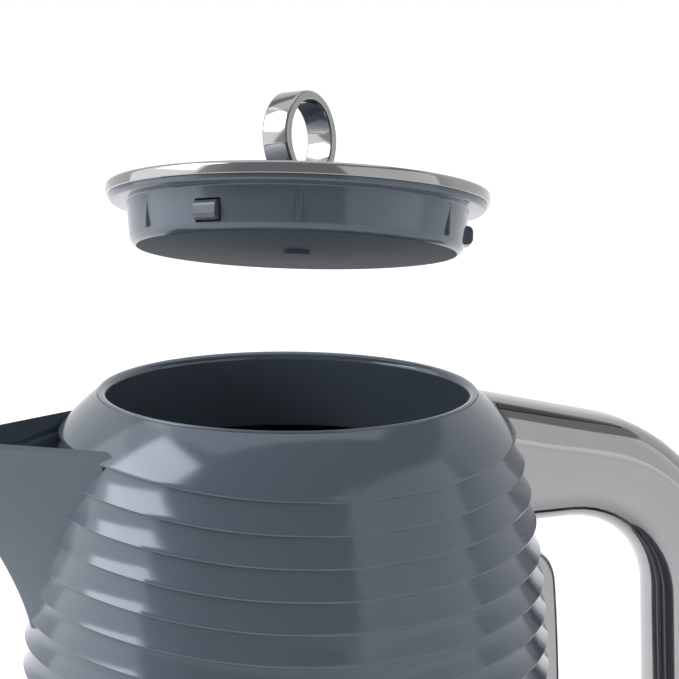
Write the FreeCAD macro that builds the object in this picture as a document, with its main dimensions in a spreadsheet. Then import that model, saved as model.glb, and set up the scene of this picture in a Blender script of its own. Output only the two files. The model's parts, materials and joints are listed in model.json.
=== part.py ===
import FreeCAD, Part
import math
import os

import Sketcher

# Electric kettle, in millimetres. The origin is the middle of the power base on the table, +Z is up,
# the spout points to -X and the handle to +X. The lid stands lifted and tipped above the mouth.

SIZES = {
    # Power base
    "base_radius": 78.0,
    "base_height": 22.0,
    "base_wall": 2.4,
    "base_shoulder": 6.0,
    "base_lift": 3.0,
    "foot_height": 2.2,
    "foot_radius": 6.0,
    "foot_inset": 18.0,
    "plate_thickness": 2.6,
    "plate_rim": 5.8,
    "centre_pad_radius": 12.0,
    "base_screw_inset": 28.0,
    "base_boss_radius": 4.5,
    "screw_radius": 1.5,
    "screw_head_radius": 2.9,
    "screw_head_height": 1.6,
    "screw_length": 11.0,
    "socket_radius": 24.0,
    "socket_floor": 2.2,
    "core_flange_radius": 15.6,
    "core_flange_height": 4.6,
    "core_radius": 12.6,
    "core_height": 39.0,
    "core_chamfer": 2.0,
    "gland_radius": 5.0,
    "gland_flange_radius": 6.6,
    "gland_bore": 3.4,
    "gland_length": 13.0,
    "gland_height": 9.4,
    # Jug
    "rim_height": 216.0,
    "mouth_radius": 50.4,
    "neck_wall": 2.6,
    "neck_depth": 22.4,
    "rim_step": 0.6,
    "body_radius": 77.0,
    "shell_wall": 2.6,
    "collar_depth": 14.1,
    "collar_bulge": 0.7,
    "shoulder_drop": 12.1,
    "shoulder_decay": 37.5,
    "rib_foot": 35.6,
    "rib_relief": 1.6,
    "rib_lip": 0.9,
    "rib_flare": 0.25,
    "rib_count": 20,
    "chamber_inset": 4.0,
    "ledge_rise": 17.4,
    "ledge_thickness": 3.0,
    "ledge_width": 6.2,
    "skirt_inset": 1.2,
    "skirt_wall": 2.8,
    "skirt_taper": 1.6,
    "spigot_height": 4.0,
    "cover_thickness": 2.6,
    "bottom_screw_inset": 13.0,
    # Heater and control
    "seal_thickness": 1.6,
    "seal_width": 5.4,
    "heater_thickness": 1.2,
    "clamp_height": 3.6,
    "clamp_width": 5.6,
    "spreader_inset": 6.0,
    "spreader_thickness": 2.5,
    "element_inset": 14.0,
    "element_radius": 3.3,
    "element_gap_angle": 50.0,
    "tail_length": 9.0,
    "connector_radius": 19.0,
    "connector_bore": 14.0,
    "connector_roof": 2.0,
    "contact_ring_depth": 0.8,
    "contact_ring_height": 2.0,
    "contact_ring_step": 6.0,
    "control_radius": 36.0,
    "control_lift": 4.0,
    "control_height": 10.0,
    "control_post_radius": 3.0,
    "control_post_circle": 30.0,
    "disc_radius": 6.5,
    "disc_thickness": 0.8,
    "disc_seat_radius": 5.0,
    "disc_circle": 27.5,
    # Spout and filter
    "spout_reach": 27.0,
    "spout_drop": 9.6,
    "spout_depth": 55.0,
    "spout_half_width": 28.3,
    "spout_wall": 2.4,
    "spout_nose": 1.6,
    "spout_inner_nose": 0.4,
    "spout_beak_power": 1.38,
    "window_half_width": 10.0,
    "window_height": 22.0,
    "window_drop": 21.0,
    "filter_half_width": 15.0,
    "filter_margin": 5.0,
    "filter_border": 3.5,
    "filter_top_drop": 2.0,
    "filter_thickness": 2.6,
    "mesh_thickness": 0.6,
    "mesh_depth": 1.0,
    "mesh_wire_share": 0.2,
    "mesh_columns": 5,
    "mesh_rows": 7,
    # Handle
    "handle_reach": 58.9,
    "handle_top_drop": 10.6,
    "handle_top_at": 10.0,
    "handle_slope": 0.224,
    "handle_width": 28.0,
    "handle_wall": 3.0,
    "handle_edge": 7.0,
    "handle_top_bend": 50.0,
    "handle_low_bend": 32.0,
    "handle_low_reach": 50.0,
    "handle_bottom": 27.0,
    "gap_reach": 32.0,
    "gap_low_reach": 37.0,
    "gap_top_drop": 40.7,
    "gap_root_drop": 3.0,
    "gap_bottom": 72.0,
    "gap_top_bend": 26.0,
    "gap_low_bend": 17.0,
    "liner_width": 18.0,
    "steam_tube_radius": 3.5,
    "steam_tube_wall": 1.0,
    "steam_port_drop": 26.0,
    "steam_tube_line": 44.6,
    "steam_tube_bend": 24.0,
    "steam_tube_end": 82.0,
    "carrier_thickness": 2.4,
    "carrier_length": 9.2,
    "bimetal_radius": 4.4,
    "bimetal_thickness": 0.8,
    "handle_screw_spread": 7.0,
    "handle_screw_rise": 7.6,
    "lug_depth": 8.0,
    "lug_reach": 9.0,
    "lug_half_height": 6.0,
    # Switch
    "pivot_reach": 19.0,
    "pivot_height": 43.0,
    "pin_radius": 1.5,
    "hub_radius": 4.0,
    "lever_width": 13.0,
    "lever_thickness": 6.0,
    "lever_length": 33.0,
    "lever_slope": 38.0,
    "lever_travel": 12.0,
    "finger_width": 5.0,
    "finger_thickness": 4.0,
    "finger_margin": 0.6,
    "finger_gap": 0.5,
    "rod_drop": 9.5,
    "rod_radius": 1.5,
    # Water gauge
    "gauge_reach": 5.2,
    "gauge_top_drop": 50.0,
    "gauge_bottom": 86.0,
    "gauge_half_width": 12.0,
    "gauge_seal": 1.2,
    "gauge_slot_half_width": 6.0,
    "gauge_border": 12.0,
    "gauge_inset": 1.2,
    "gauge_end_round": 9.0,
    "water_slot_half_width": 3.0,
    "seal_lip": 3.0,
    # Lid
    "lid_overhang": 2.8,
    "lid_flange_overhang": 1.8,
    "lid_flange_height": 2.6,
    "plug_inset": 3.1,
    "plug_taper": 1.5,
    "plug_depth": 12.0,
    "plug_round": 2.4,
    "plug_wall": 2.2,
    "plug_floor": 1.8,
    "trim_height": 3.4,
    "trim_width": 3.6,
    "trim_skirt": 0.9,
    "trim_bevel": 0.8,
    "cover_rise": 3.8,
    "cover_brim_drop": 0.6,
    "cover_wall": 2.0,
    "ring_radius": 13.0,
    "ring_band": 2.7,
    "ring_width": 8.5,
    "ring_lift": 19.9,
    "ring_yaw": -48.0,
    "stem_radius": 4.5,
    "stem_drop": 9.7,
    "lid_screw_grip": 3.0,
    "cross_pin_radius": 1.5,
    "cross_pin_length": 22.0,
    "cross_pin_drop": 2.0,
    "catch_inset": 2.0,
    "catch_length": 8.0,
    "catch_width": 6.6,
    "catch_height": 5.2,
    "catch_drop": 6.6,
    "catch_yaw": -135.5,
    "catch_travel": 2.0,
    "catch_nose": 1.6,
    "catch_gap": 0.3,
    "spring_sheet": 0.5,
    "spring_height": 4.0,
    "spring_half_width": 3.0,
    "spring_post_radius": 2.0,
    "spring_room": 6.0,
    "centring_rib": 0.7,
    "centring_rib_width": 1.6,
    "centring_rib_lift": 2.6,
    "centring_rib_yaw": -105.0,
    "lid_lift": 50.4,
    "lid_drift": 2.6,
    "lid_tilt": 15.8,
    "view_yaw": -20.0,
    # Clearances, and how far a cutter runs past a face
    "seat_gap": 0.3,
    "fit_gap": 0.2,
    "run_gap": 0.4,
    "pin_gap": 0.05,
    "overrun": 1.0,
}

doc = FreeCAD.newDocument("kettle")
dims = doc.addObject("Spreadsheet::Sheet", "dims")
for row, (alias, number) in enumerate(SIZES.items(), start=1):
    dims.set(f"A{row}", str(number))
    dims.setAlias(f"A{row}", alias)
doc.recompute()

Vector = FreeCAD.Vector
UP = Vector(0, 0, 1)
SCREW_COUNT = 3
SCREW_YAW = 60
ALONG_X = Vector(1, 0, 0)
ALONG_Y = Vector(0, 1, 0)


class Size:
    """A length from the sheet, or one worked out from several, with its expression."""

    def __init__(self, value, text):
        self.value = value
        self.text = text

    def __add__(self, other):
        other = as_size(other)
        return Size(self.value + other.value, f"({self.text} + {other.text})")

    def __sub__(self, other):
        other = as_size(other)
        return Size(self.value - other.value, f"({self.text} - {other.text})")

    def __mul__(self, other):
        other = as_size(other)
        return Size(self.value * other.value, f"({self.text} * {other.text})")

    def __truediv__(self, other):
        other = as_size(other)
        return Size(self.value / other.value, f"({self.text} / {other.text})")

    def __float__(self):
        return self.value


def as_size(number):
    """Gives a plain number an expression of its own."""
    if isinstance(number, Size):
        return number
    return Size(float(number), repr(float(number)))


class Sheet:
    """Reads the sheet's cells by name, as bindable sizes."""

    def __getattr__(self, alias):
        return Size(float(dims.get(alias)), f"dims.{alias}")


s = Sheet()
parts = {}


def keep(name, item):
    """Lists an object of the document as a sub-part."""
    item.Label = name
    parts[name] = item
    return item


def plane_of(body, role):
    return next(plane for plane in body.Origin.OriginFeatures if plane.Role == role)


def lathe(name, outline):
    """A turned piece: a closed outline of (radius, height) corners, spun about Z."""
    body = doc.addObject("PartDesign::Body", name)
    sketch = body.newObject("Sketcher::SketchObject", name + "_outline")
    sketch.AttachmentSupport = [(plane_of(body, "XZ_Plane"), "")]
    sketch.MapMode = "FlatFace"
    corners = [(as_size(radius), as_size(height)) for radius, height in outline]
    places = [Vector(float(radius), float(height), 0) for radius, height in corners]
    count = len(places)
    for i in range(count):
        sketch.addGeometry(Part.LineSegment(places[i], places[(i + 1) % count]))
    for i in range(count):
        sketch.addConstraint(Sketcher.Constraint("Coincident", i, 2, (i + 1) % count, 1))
    for i, (radius, height) in enumerate(corners):
        if radius.value == 0:
            sketch.addConstraint(Sketcher.Constraint("PointOnObject", i, 1, -2))
        else:
            across = sketch.addConstraint(Sketcher.Constraint("DistanceX", -1, 1, i, 1, radius.value))
            sketch.setExpression(f"Constraints[{across}]", radius.text)
        if height.value == 0:
            sketch.addConstraint(Sketcher.Constraint("PointOnObject", i, 1, -1))
        else:
            upward = sketch.addConstraint(Sketcher.Constraint("DistanceY", -1, 1, i, 1, height.value))
            sketch.setExpression(f"Constraints[{upward}]", height.text)
    turned = body.newObject("PartDesign::Revolution", name + "_turned")
    turned.Profile = sketch
    turned.ReferenceAxis = (sketch, ["V_Axis"])
    turned.Angle = 360
    return body


def feature(name, shape):
    """A sub-part or a cutter made with the shape functions."""
    item = doc.addObject("Part::Feature", name)
    item.Shape = shape
    return item


def cut(name, base, *tools):
    """Takes the tools away from the base, one after another."""
    for step, tool in enumerate(tools, start=1):
        last = step == len(tools)
        item = doc.addObject("Part::Cut", name if last else f"{name}_step{step}")
        item.Base = base
        item.Tool = tool
        base = item
    return base


def fuse(name, *items):
    joined = doc.addObject("Part::MultiFuse", name)
    joined.Shapes = list(items)
    return joined


def rod(name, radius, length, start, direction):
    """A round bar from a start point along a direction."""
    bar = doc.addObject("Part::Cylinder", name)
    bar.setExpression("Radius", as_size(radius).text)
    bar.setExpression("Height", as_size(length).text)
    bar.Placement.Rotation = FreeCAD.Rotation(UP, direction)
    for axis, value in zip("xyz", start):
        bar.setExpression(f"Placement.Base.{axis}", as_size(value).text)
    return bar


def bar_shape(radius, length, start, direction):
    return Part.makeCylinder(float(radius), float(length), start, direction)


def box_shape(low, high):
    """A box between two corners, as a shape."""
    low = Vector(*[float(value) for value in low])
    high = Vector(*[float(value) for value in high])
    span = high - low
    return Part.makeBox(span.x, span.y, span.z, low)


def turned_about_z(shape, angle):
    copy = shape.copy()
    copy.rotate(Vector(0, 0, 0), UP, angle)
    return copy


def around(shape, count, start=0.0):
    """Copies of a shape evenly round the kettle's axis."""
    return [turned_about_z(shape, start + 360.0 * i / count) for i in range(count)]


def screw_shape(length, tip, direction):
    """A pan-head screw whose head starts at the tip's far end, pointing along the direction."""
    head = bar_shape(s.screw_head_radius, s.screw_head_height, Vector(0, 0, 0), UP)
    shank = bar_shape(s.screw_radius, float(length), Vector(0, 0, 0), UP)
    shank.translate(UP * float(s.screw_head_height))
    screw = head.fuse(shank)
    screw.Placement = FreeCAD.Placement(tip, FreeCAD.Rotation(UP, direction))
    return screw


# Heights and radii that several pieces share

foot_circle = s.base_radius - s.foot_inset
base_screw_circle = s.base_radius - s.base_screw_inset
plate_top = s.foot_height + s.plate_thickness
socket_top = s.base_height - s.base_wall
socket_bore = s.core_flange_radius + s.run_gap

collar_hole = s.mouth_radius + s.neck_wall + s.fit_gap
jug_foot = s.base_height + s.seat_gap
rib_top = s.rim_height - s.collar_depth
rib_bottom = s.rib_foot
rib_pitch = (rib_top - rib_bottom) / s.rib_count
skirt_radius = s.body_radius - s.skirt_inset
chamber_radius = s.body_radius - s.chamber_inset
bottom_screw_circle = skirt_radius - s.bottom_screw_inset

ledge_height = rib_bottom + s.ledge_rise
ledge_radius = chamber_radius - s.ledge_width
heater_top = ledge_height - s.seal_thickness
heater_low = heater_top - s.heater_thickness
spreader_low = heater_low - s.spreader_thickness
spreader_radius = ledge_radius - s.spreader_inset
element_circle = spreader_radius - s.element_inset
element_height = spreader_low - s.element_radius - s.pin_gap
connector_top = s.core_height + s.run_gap + s.connector_roof
control_low = jug_foot + s.cover_thickness + s.control_lift
control_top = control_low + s.control_height

spout_top = s.rim_height - s.spout_drop
spout_tip = s.body_radius + s.spout_reach
handle_top = s.rim_height - s.handle_top_drop
handle_top_place = s.body_radius + s.handle_top_at
handle_end = s.body_radius + s.handle_reach
handle_low_end = s.body_radius + s.handle_low_reach
gap_top = s.rim_height - s.gap_top_drop
gap_end = s.body_radius + s.gap_reach
gap_low_end = s.body_radius + s.gap_low_reach
steam_line = s.body_radius + s.steam_tube_line
steam_port_height = s.rim_height - s.steam_port_drop
handle_screw_height = rib_bottom + s.handle_screw_rise
pivot_place = s.body_radius + s.pivot_reach
rod_height = s.pivot_height - s.rod_drop
gauge_top = s.rim_height - s.gauge_top_drop
gauge_front = s.body_radius + s.gauge_reach

lid_seat = s.rim_height + s.seat_gap
flange_top = lid_seat + s.lid_flange_height
lid_radius = s.mouth_radius + s.lid_overhang
lid_flange_radius = s.mouth_radius + s.lid_flange_overhang
plug_radius = s.mouth_radius - s.plug_inset
ring_height = s.rim_height + s.ring_lift
stem_end = s.rim_height - s.stem_drop
cross_pin_height = s.rim_height - s.cross_pin_drop
catch_reach = s.mouth_radius - s.catch_inset
spring_post_circle = catch_reach - s.catch_length - s.spring_room - s.spring_post_radius


def crest_radius(height):
    """Outer radius over the ribs' crests: it closes in towards the shoulder."""
    below = float(rib_top) - height
    return float(s.body_radius) - float(s.shoulder_drop) * math.exp(-below / float(s.shoulder_decay))


def crease_radius(height):
    return crest_radius(height) - float(s.rib_relief)


def point(radius, height):
    return Vector(float(radius), 0, float(height))


def line(start, end):
    return Part.LineSegment(start, end).toShape()


def arc(start, middle, end):
    return Part.Arc(start, middle, end).toShape()


def spline(points):
    curve = Part.BSplineCurve()
    curve.interpolate(points)
    return curve.toShape()


def spun(edges):
    """The solid that a closed outline in the XZ plane sweeps about Z."""
    face = Part.Face(Part.Wire(Part.__sortEdges__(edges)))
    return face.revolve(Vector(0, 0, 0), UP, 360)


def lip_point(crease):
    """The outer edge of the lip that overhangs the crease at a height."""
    height = crease + float(s.rib_lip)
    return point(crest_radius(height), height)


def collar_arc(inset):
    """The domed collar, from the mouth's edge down to its lip, or to the first crease if moved in."""
    top = point(collar_hole, s.rim_height - s.rim_step)
    low = point(crease_radius(float(rib_top)), rib_top) if inset else lip_point(float(rib_top))
    chord = low - top
    outward = Vector(-chord.z, 0, chord.x).normalize()
    if outward.x < 0:
        outward = outward * -1
    middle = (top + low) * 0.5 + outward * (float(s.collar_bulge) - inset)
    return arc(top - UP * inset, middle, low - ALONG_X * inset), top - UP * inset, low - ALONG_X * inset


def rib_edges():
    """The stack of bands below the collar: each flares out to a lip, which steps back to a crease."""
    edges = [line(lip_point(float(rib_top)), point(crease_radius(float(rib_top)), rib_top))]
    for i in range(int(float(s.rib_count))):
        high = float(rib_top) - i * float(rib_pitch)
        low = high - float(rib_pitch)
        lip = lip_point(low)
        middle = (high + lip.z) / 2
        swell = float(s.rib_relief * s.rib_flare)
        edges.append(arc(point(crease_radius(high), high), point(crease_radius(middle) + swell, middle), lip))
        edges.append(line(lip, point(crease_radius(low), low)))
    return edges


def wall_curve(inset, low, high):
    """The body's smooth line through the creases, moved in by an inset."""
    steps = 10
    heights = [low + (high - low) * i / steps for i in range(steps + 1)]
    return spline([point(crease_radius(height) - inset, height) for height in heights])


def body_solid(margin):
    """The jug as a filled body, larger by a margin, to shape what seats against it."""
    foot = float(jug_foot)
    if margin == 0:
        dome, top, low = collar_arc(0)
        bottom = point(crease_radius(float(rib_bottom)), rib_bottom)
        skirt = point(skirt_radius, rib_bottom)
        base = point(skirt_radius, foot)
        edges = [dome] + rib_edges()
        edges += [line(bottom, skirt), line(skirt, base), line(base, point(0, foot))]
        edges += [line(point(0, foot), point(0, top.z)), line(point(0, top.z), top)]
        return spun(edges)
    swell = -float(s.rib_relief) - margin
    low = float(rib_bottom)
    high = float(rib_top)
    lower = point(crease_radius(low) - swell, low)
    upper = point(crease_radius(high) - swell, high)
    edges = [wall_curve(swell, low, high), line(upper, point(0, high))]
    edges += [line(point(0, high), point(0, low)), line(point(0, low), lower)]
    return spun(edges)


jug_core = body_solid(0)


# Power base

def base_top_cover():
    outer = s.base_radius
    inner = s.base_radius - s.base_wall
    brow = s.base_height - s.base_shoulder
    shell = lathe("base_top_shell", [
        (outer, s.base_lift), (outer, brow), (outer - s.base_shoulder, s.base_height),
        (s.socket_radius - s.base_wall, s.base_height), (s.socket_radius - s.base_wall, socket_top),
        (inner - s.base_shoulder, socket_top), (inner, brow), (inner, s.base_lift)])
    boss = bar_shape(s.base_boss_radius, socket_top - plate_top,
                     Vector(float(base_screw_circle), 0, float(plate_top)), UP)
    pilot = bar_shape(s.screw_radius, s.screw_length,
                      Vector(float(base_screw_circle), 0, float(plate_top - s.overrun)), UP)
    bosses = feature("base_bosses", Part.makeCompound(around(boss.cut(pilot), SCREW_COUNT, SCREW_YAW)))
    hole = rod("gland_hole", s.gland_radius + s.pin_gap, s.gland_length * 2,
               (s.base_radius - s.gland_length, 0, s.gland_height), ALONG_X)
    keep("base_top_cover", cut("base_top_cover", fuse("base_top_body", shell, bosses), hole))


def base_bottom_cover():
    edge = s.base_radius - s.base_wall - s.run_gap
    plate = lathe("base_plate", [
        (0, 0), (s.centre_pad_radius, 0), (s.centre_pad_radius, s.foot_height), (edge, s.foot_height),
        (edge, s.foot_height + s.plate_rim), (edge - s.base_wall, s.foot_height + s.plate_rim),
        (edge - s.base_wall, plate_top), (0, plate_top)])
    seat = Vector(float(base_screw_circle), 0, 0)
    well = bar_shape(s.screw_head_radius + s.fit_gap, s.foot_height + s.screw_head_height, seat, UP)
    hole = bar_shape(s.screw_radius + s.pin_gap, plate_top + s.overrun, seat, UP)
    wells = feature("base_screw_wells", Part.makeCompound(around(well.fuse(hole), SCREW_COUNT, SCREW_YAW)))
    notch = rod("gland_notch", s.gland_flange_radius + s.run_gap, s.gland_length * 2,
                (s.base_radius - s.gland_length * 1.5, 0, s.gland_height), ALONG_X)
    keep("base_bottom_cover", cut("base_bottom_cover", plate, wells, notch))


def base_feet():
    foot = bar_shape(s.foot_radius, s.foot_height, Vector(float(foot_circle), 0, 0), UP)
    keep("base_feet", feature("base_feet", Part.makeCompound(around(foot, 4, 45))))


def base_screws():
    head_seat = Vector(float(base_screw_circle), 0, float(s.foot_height))
    screw = screw_shape(s.screw_length - s.screw_head_height, head_seat, UP)
    keep("base_screws", feature("base_screws", Part.makeCompound(around(screw, SCREW_COUNT, SCREW_YAW))))


def base_socket():
    keep("base_socket", lathe("base_socket", [
        (0, plate_top), (s.socket_radius, plate_top), (s.socket_radius, socket_top),
        (socket_bore, socket_top), (socket_bore, plate_top + s.socket_floor),
        (0, plate_top + s.socket_floor)]))


def cord_gland():
    inner_end = s.base_radius - s.base_wall - s.gland_length * 0.5
    sleeve = rod("gland_sleeve", s.gland_radius, s.gland_length, (inner_end, 0, s.gland_height), ALONG_X)
    flange = rod("gland_flange", s.gland_flange_radius, s.base_wall,
                 (s.base_radius - s.base_wall * 2 - s.run_gap, 0, s.gland_height), ALONG_X)
    bore = rod("gland_bore_hole", s.gland_bore, s.gland_length * 2,
               (inner_end - s.overrun, 0, s.gland_height), ALONG_X)
    keep("cord_gland", cut("cord_gland", fuse("gland_body", sleeve, flange), bore))


def socket_core():
    foot = plate_top + s.socket_floor + s.run_gap
    shoulder = foot + s.core_flange_height
    keep("socket_core", lathe("socket_core", [
        (0, foot), (s.core_flange_radius, foot), (s.core_flange_radius, shoulder),
        (s.core_radius, shoulder), (s.core_radius, s.core_height - s.core_chamfer),
        (s.core_radius - s.core_chamfer, s.core_height), (0, s.core_height)]))


# Jug

def steam_port():
    return bar_shape(s.steam_tube_radius + s.pin_gap, s.body_radius,
                     Vector(0, 0, float(steam_port_height)), ALONG_X)


def handle_screw_places():
    reach = float(chamber_radius) - float(s.screw_head_height)
    return [Vector(reach, side * float(s.handle_screw_spread), float(handle_screw_height))
            for side in (-1, 1)]


def jug_shell():
    dome, top, first_crease = collar_arc(0)
    inside, inside_top, inside_low = collar_arc(float(s.shell_wall))
    ledge_top = float(ledge_height + s.ledge_thickness)
    bottom = point(crease_radius(float(rib_bottom)), rib_bottom)
    ledge_edge = point(crease_radius(ledge_top) - float(s.shell_wall), ledge_top)
    corners = [bottom, point(chamber_radius, rib_bottom), point(chamber_radius, ledge_height),
               point(ledge_radius, ledge_height), point(ledge_radius, ledge_top), ledge_edge]
    edges = [dome] + rib_edges()
    edges += [line(corners[i], corners[i + 1]) for i in range(len(corners) - 1)]
    edges += [wall_curve(float(s.shell_wall), ledge_top, inside_low.z), inside, line(inside_top, top)]
    shell = spun(edges)
    window_top = s.rim_height - s.window_drop
    window = box_shape((-s.body_radius.value, -s.window_half_width.value, window_top - s.window_height),
                       (0, s.window_half_width, window_top))
    slot_low = s.gauge_bottom + s.gauge_border + s.seal_lip
    slot_high = gauge_top - s.gauge_border - s.seal_lip
    slot = box_shape((0, -s.water_slot_half_width.value, slot_low),
                     (gauge_front, s.water_slot_half_width, slot_high))
    shell = shell.cut(window).cut(slot).cut(steam_port())
    for place in handle_screw_places():
        shell = shell.cut(bar_shape(s.screw_radius + s.pin_gap, s.body_radius, place, ALONG_X))
        shell = shell.cut(bar_shape(s.screw_head_radius + s.fit_gap, s.screw_head_height + s.fit_gap, place,
                                    ALONG_X))
    keep("jug_shell", feature("jug_shell", shell))


def neck_ring():
    outer = s.mouth_radius + s.neck_wall
    keep("neck_ring", lathe("neck_ring", [
        (s.mouth_radius, s.rim_height - s.neck_depth), (outer, s.rim_height - s.neck_depth),
        (outer, s.rim_height), (s.mouth_radius, s.rim_height)]))


def jug_skirt():
    inner = skirt_radius - s.skirt_wall
    spigot = chamber_radius - s.fit_gap
    ring = lathe("skirt_ring", [
        (skirt_radius - s.skirt_taper, jug_foot), (skirt_radius, jug_foot + s.skirt_taper * 2),
        (skirt_radius, rib_bottom), (spigot, rib_bottom), (spigot, rib_bottom + s.spigot_height),
        (spigot - s.skirt_wall, rib_bottom + s.spigot_height), (spigot - s.skirt_wall, rib_bottom),
        (inner - s.skirt_taper, jug_foot)])
    floor = jug_foot + s.cover_thickness
    seat = Vector(float(bottom_screw_circle), 0, float(floor))
    boss_height = rib_bottom + s.spigot_height - floor
    boss = bar_shape(s.base_boss_radius, boss_height, seat, UP)
    web_low = Vector(float(bottom_screw_circle), -float(s.base_wall) / 2, float(floor))
    web_span = float(inner - bottom_screw_circle) - float(s.skirt_taper) / 2
    web = Part.makeBox(web_span, float(s.base_wall), float(boss_height), web_low)
    pilot = bar_shape(s.screw_radius, s.screw_length, seat - UP * float(s.overrun), UP)
    boss_copies = around(boss.fuse(web).cut(pilot), SCREW_COUNT, SCREW_YAW)
    bosses = feature("skirt_bosses", Part.makeCompound(boss_copies))
    hole = rod("rod_hole", s.rod_radius + s.pin_gap, skirt_radius, (0, 0, rod_height), ALONG_X)
    keep("jug_skirt", cut("jug_skirt", fuse("skirt_body", ring, bosses), hole))


def bottom_cover():
    edge = skirt_radius - s.skirt_wall - s.skirt_taper - s.run_gap
    plate = lathe("bottom_plate", [
        (s.connector_radius + s.fit_gap, jug_foot), (edge, jug_foot), (edge, jug_foot + s.cover_thickness),
        (s.connector_radius + s.fit_gap, jug_foot + s.cover_thickness)])
    seat = Vector(float(bottom_screw_circle), 0, float(jug_foot))
    well = bar_shape(s.screw_head_radius + s.fit_gap, s.screw_head_height, seat, UP)
    hole = bar_shape(s.screw_radius + s.pin_gap, s.cover_thickness + s.overrun, seat, UP)
    wells = feature("bottom_screw_wells", Part.makeCompound(around(well.fuse(hole), SCREW_COUNT, SCREW_YAW)))
    keep("bottom_cover", cut("bottom_cover", plate, wells))
    screw = screw_shape(s.screw_length - s.screw_head_height, seat, UP)
    keep("bottom_screws", feature("bottom_screws", Part.makeCompound(around(screw, SCREW_COUNT, SCREW_YAW))))


def heater():
    keep("heater_seal", lathe("heater_seal", [
        (ledge_radius, heater_top), (ledge_radius + s.seal_width, heater_top),
        (ledge_radius + s.seal_width, ledge_height), (ledge_radius, ledge_height)]))
    edge = ledge_radius + s.seal_width
    keep("heater_plate", lathe("heater_plate", [
        (0, heater_low), (edge, heater_low), (edge, heater_top), (0, heater_top)]))
    outer = chamber_radius - s.fit_gap
    keep("clamp_ring", lathe("clamp_ring", [
        (outer - s.clamp_width, heater_low - s.clamp_height), (outer, heater_low - s.clamp_height),
        (outer, heater_low), (outer - s.clamp_width, heater_low)]))
    keep("heat_spreader", lathe("heat_spreader", [
        (0, spreader_low), (spreader_radius, spreader_low), (spreader_radius, heater_low),
        (0, heater_low)]))


def heating_element():
    """An open ring of sheathed tube under the spreader, with two tails that turn down."""
    sweep = 360.0 - float(s.element_gap_angle)
    ring = Part.makeTorus(float(element_circle), float(s.element_radius), Vector(0, 0, 0), UP, 0, 360,
                          sweep)
    ring.rotate(Vector(0, 0, 0), UP, 90 + float(s.element_gap_angle) / 2)
    ring.translate(UP * float(element_height))
    element = ring
    for side in (-1, 1):
        angle = math.radians(90 + side * float(s.element_gap_angle) / 2)
        place = Vector(math.cos(angle), math.sin(angle), 0) * float(element_circle)
        top = place + UP * float(element_height)
        elbow = Part.makeSphere(float(s.element_radius), top)
        tail = bar_shape(s.element_radius, s.tail_length, top - UP * float(s.tail_length), UP)
        element = element.fuse(elbow).fuse(tail)
    keep("heating_element", feature("heating_element", element.removeSplitter()))


DISC_YAWS = (60, 180)


def control():
    keep("jug_connector", lathe("jug_connector", [
        (s.connector_bore, jug_foot + s.seat_gap), (s.connector_radius, jug_foot + s.seat_gap),
        (s.connector_radius, connector_top), (0, connector_top), (0, connector_top - s.connector_roof),
        (s.connector_bore, connector_top - s.connector_roof)]))
    rings = []
    for step in (1, 2):
        low = jug_foot + s.contact_ring_step * step
        ring = bar_shape(s.connector_bore, s.contact_ring_height, UP * float(low), UP)
        hole = bar_shape(s.connector_bore - s.contact_ring_depth, s.contact_ring_height, UP * float(low), UP)
        rings.append(ring.cut(hole))
    keep("contact_rings", feature("contact_rings", Part.makeCompound(rings)))
    puck = lathe("control_puck", [
        (s.connector_radius + s.pin_gap, control_low), (s.control_radius, control_low),
        (s.control_radius, control_top), (s.connector_radius + s.pin_gap, control_top)])
    room = spreader_low - control_top
    post_foot = Vector(float(s.control_post_circle), 0, float(control_top - s.overrun))
    post = bar_shape(s.control_post_radius, room + s.overrun, post_foot, UP)
    disc_place = Vector(float(s.disc_circle), 0, float(control_top - s.overrun))
    seat = bar_shape(s.disc_seat_radius, room + s.overrun - s.disc_thickness, disc_place, UP)
    seats = [turned_about_z(seat, angle) for angle in DISC_YAWS]
    posts = feature("control_posts", Part.makeCompound(around(post, 3) + seats))
    keep("control_unit", fuse("control_unit", puck, posts))
    disc = bar_shape(s.disc_radius, s.disc_thickness,
                     Vector(float(s.disc_circle), 0, float(spreader_low - s.disc_thickness)), UP)
    discs = Part.makeCompound([turned_about_z(disc, angle) for angle in DISC_YAWS])
    keep("dry_boil_discs", feature("dry_boil_discs", discs))


# Spout and filter

def spout_section(share, inset, back):
    """The spout's level outline at a share of its depth: two flat sides that close to a round nose."""
    height = float(spout_top) - share * float(s.spout_depth)
    foot = crest_radius(float(spout_top) - float(s.spout_depth))
    nose = foot + (float(spout_tip) - foot) * (1 - share) ** float(s.spout_beak_power)
    half = float(s.spout_half_width) + float(s.spout_nose - s.spout_half_width) * share
    seat = crease_radius(min(height, float(rib_top)))
    root = math.sqrt(seat ** 2 - half ** 2)
    angle = math.atan2(half, nose - root)
    radius = max(float(s.spout_nose) - inset, float(s.spout_inner_nose))
    centre = nose - float(s.spout_nose) / math.sin(angle)
    ball = Vector(-centre, 0, height)
    side = Vector(-math.sin(angle), math.cos(angle), 0) * radius
    drift = inset - float(s.spout_nose) + radius
    ball = ball + ALONG_X * (drift / math.sin(angle))
    along = Vector(math.cos(angle), math.sin(angle), 0)
    run = (centre - back) / math.cos(angle)
    upper = ball + side
    lower = Vector(upper.x, -upper.y, height)
    tip = ball - ALONG_X * radius
    upper_end = upper + along * run
    lower_end = Vector(upper_end.x, -upper_end.y, height)
    edges = [line(upper_end, upper), arc(upper, tip, lower), line(lower, lower_end),
             line(lower_end, upper_end)]
    return Part.Wire(edges)


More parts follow.
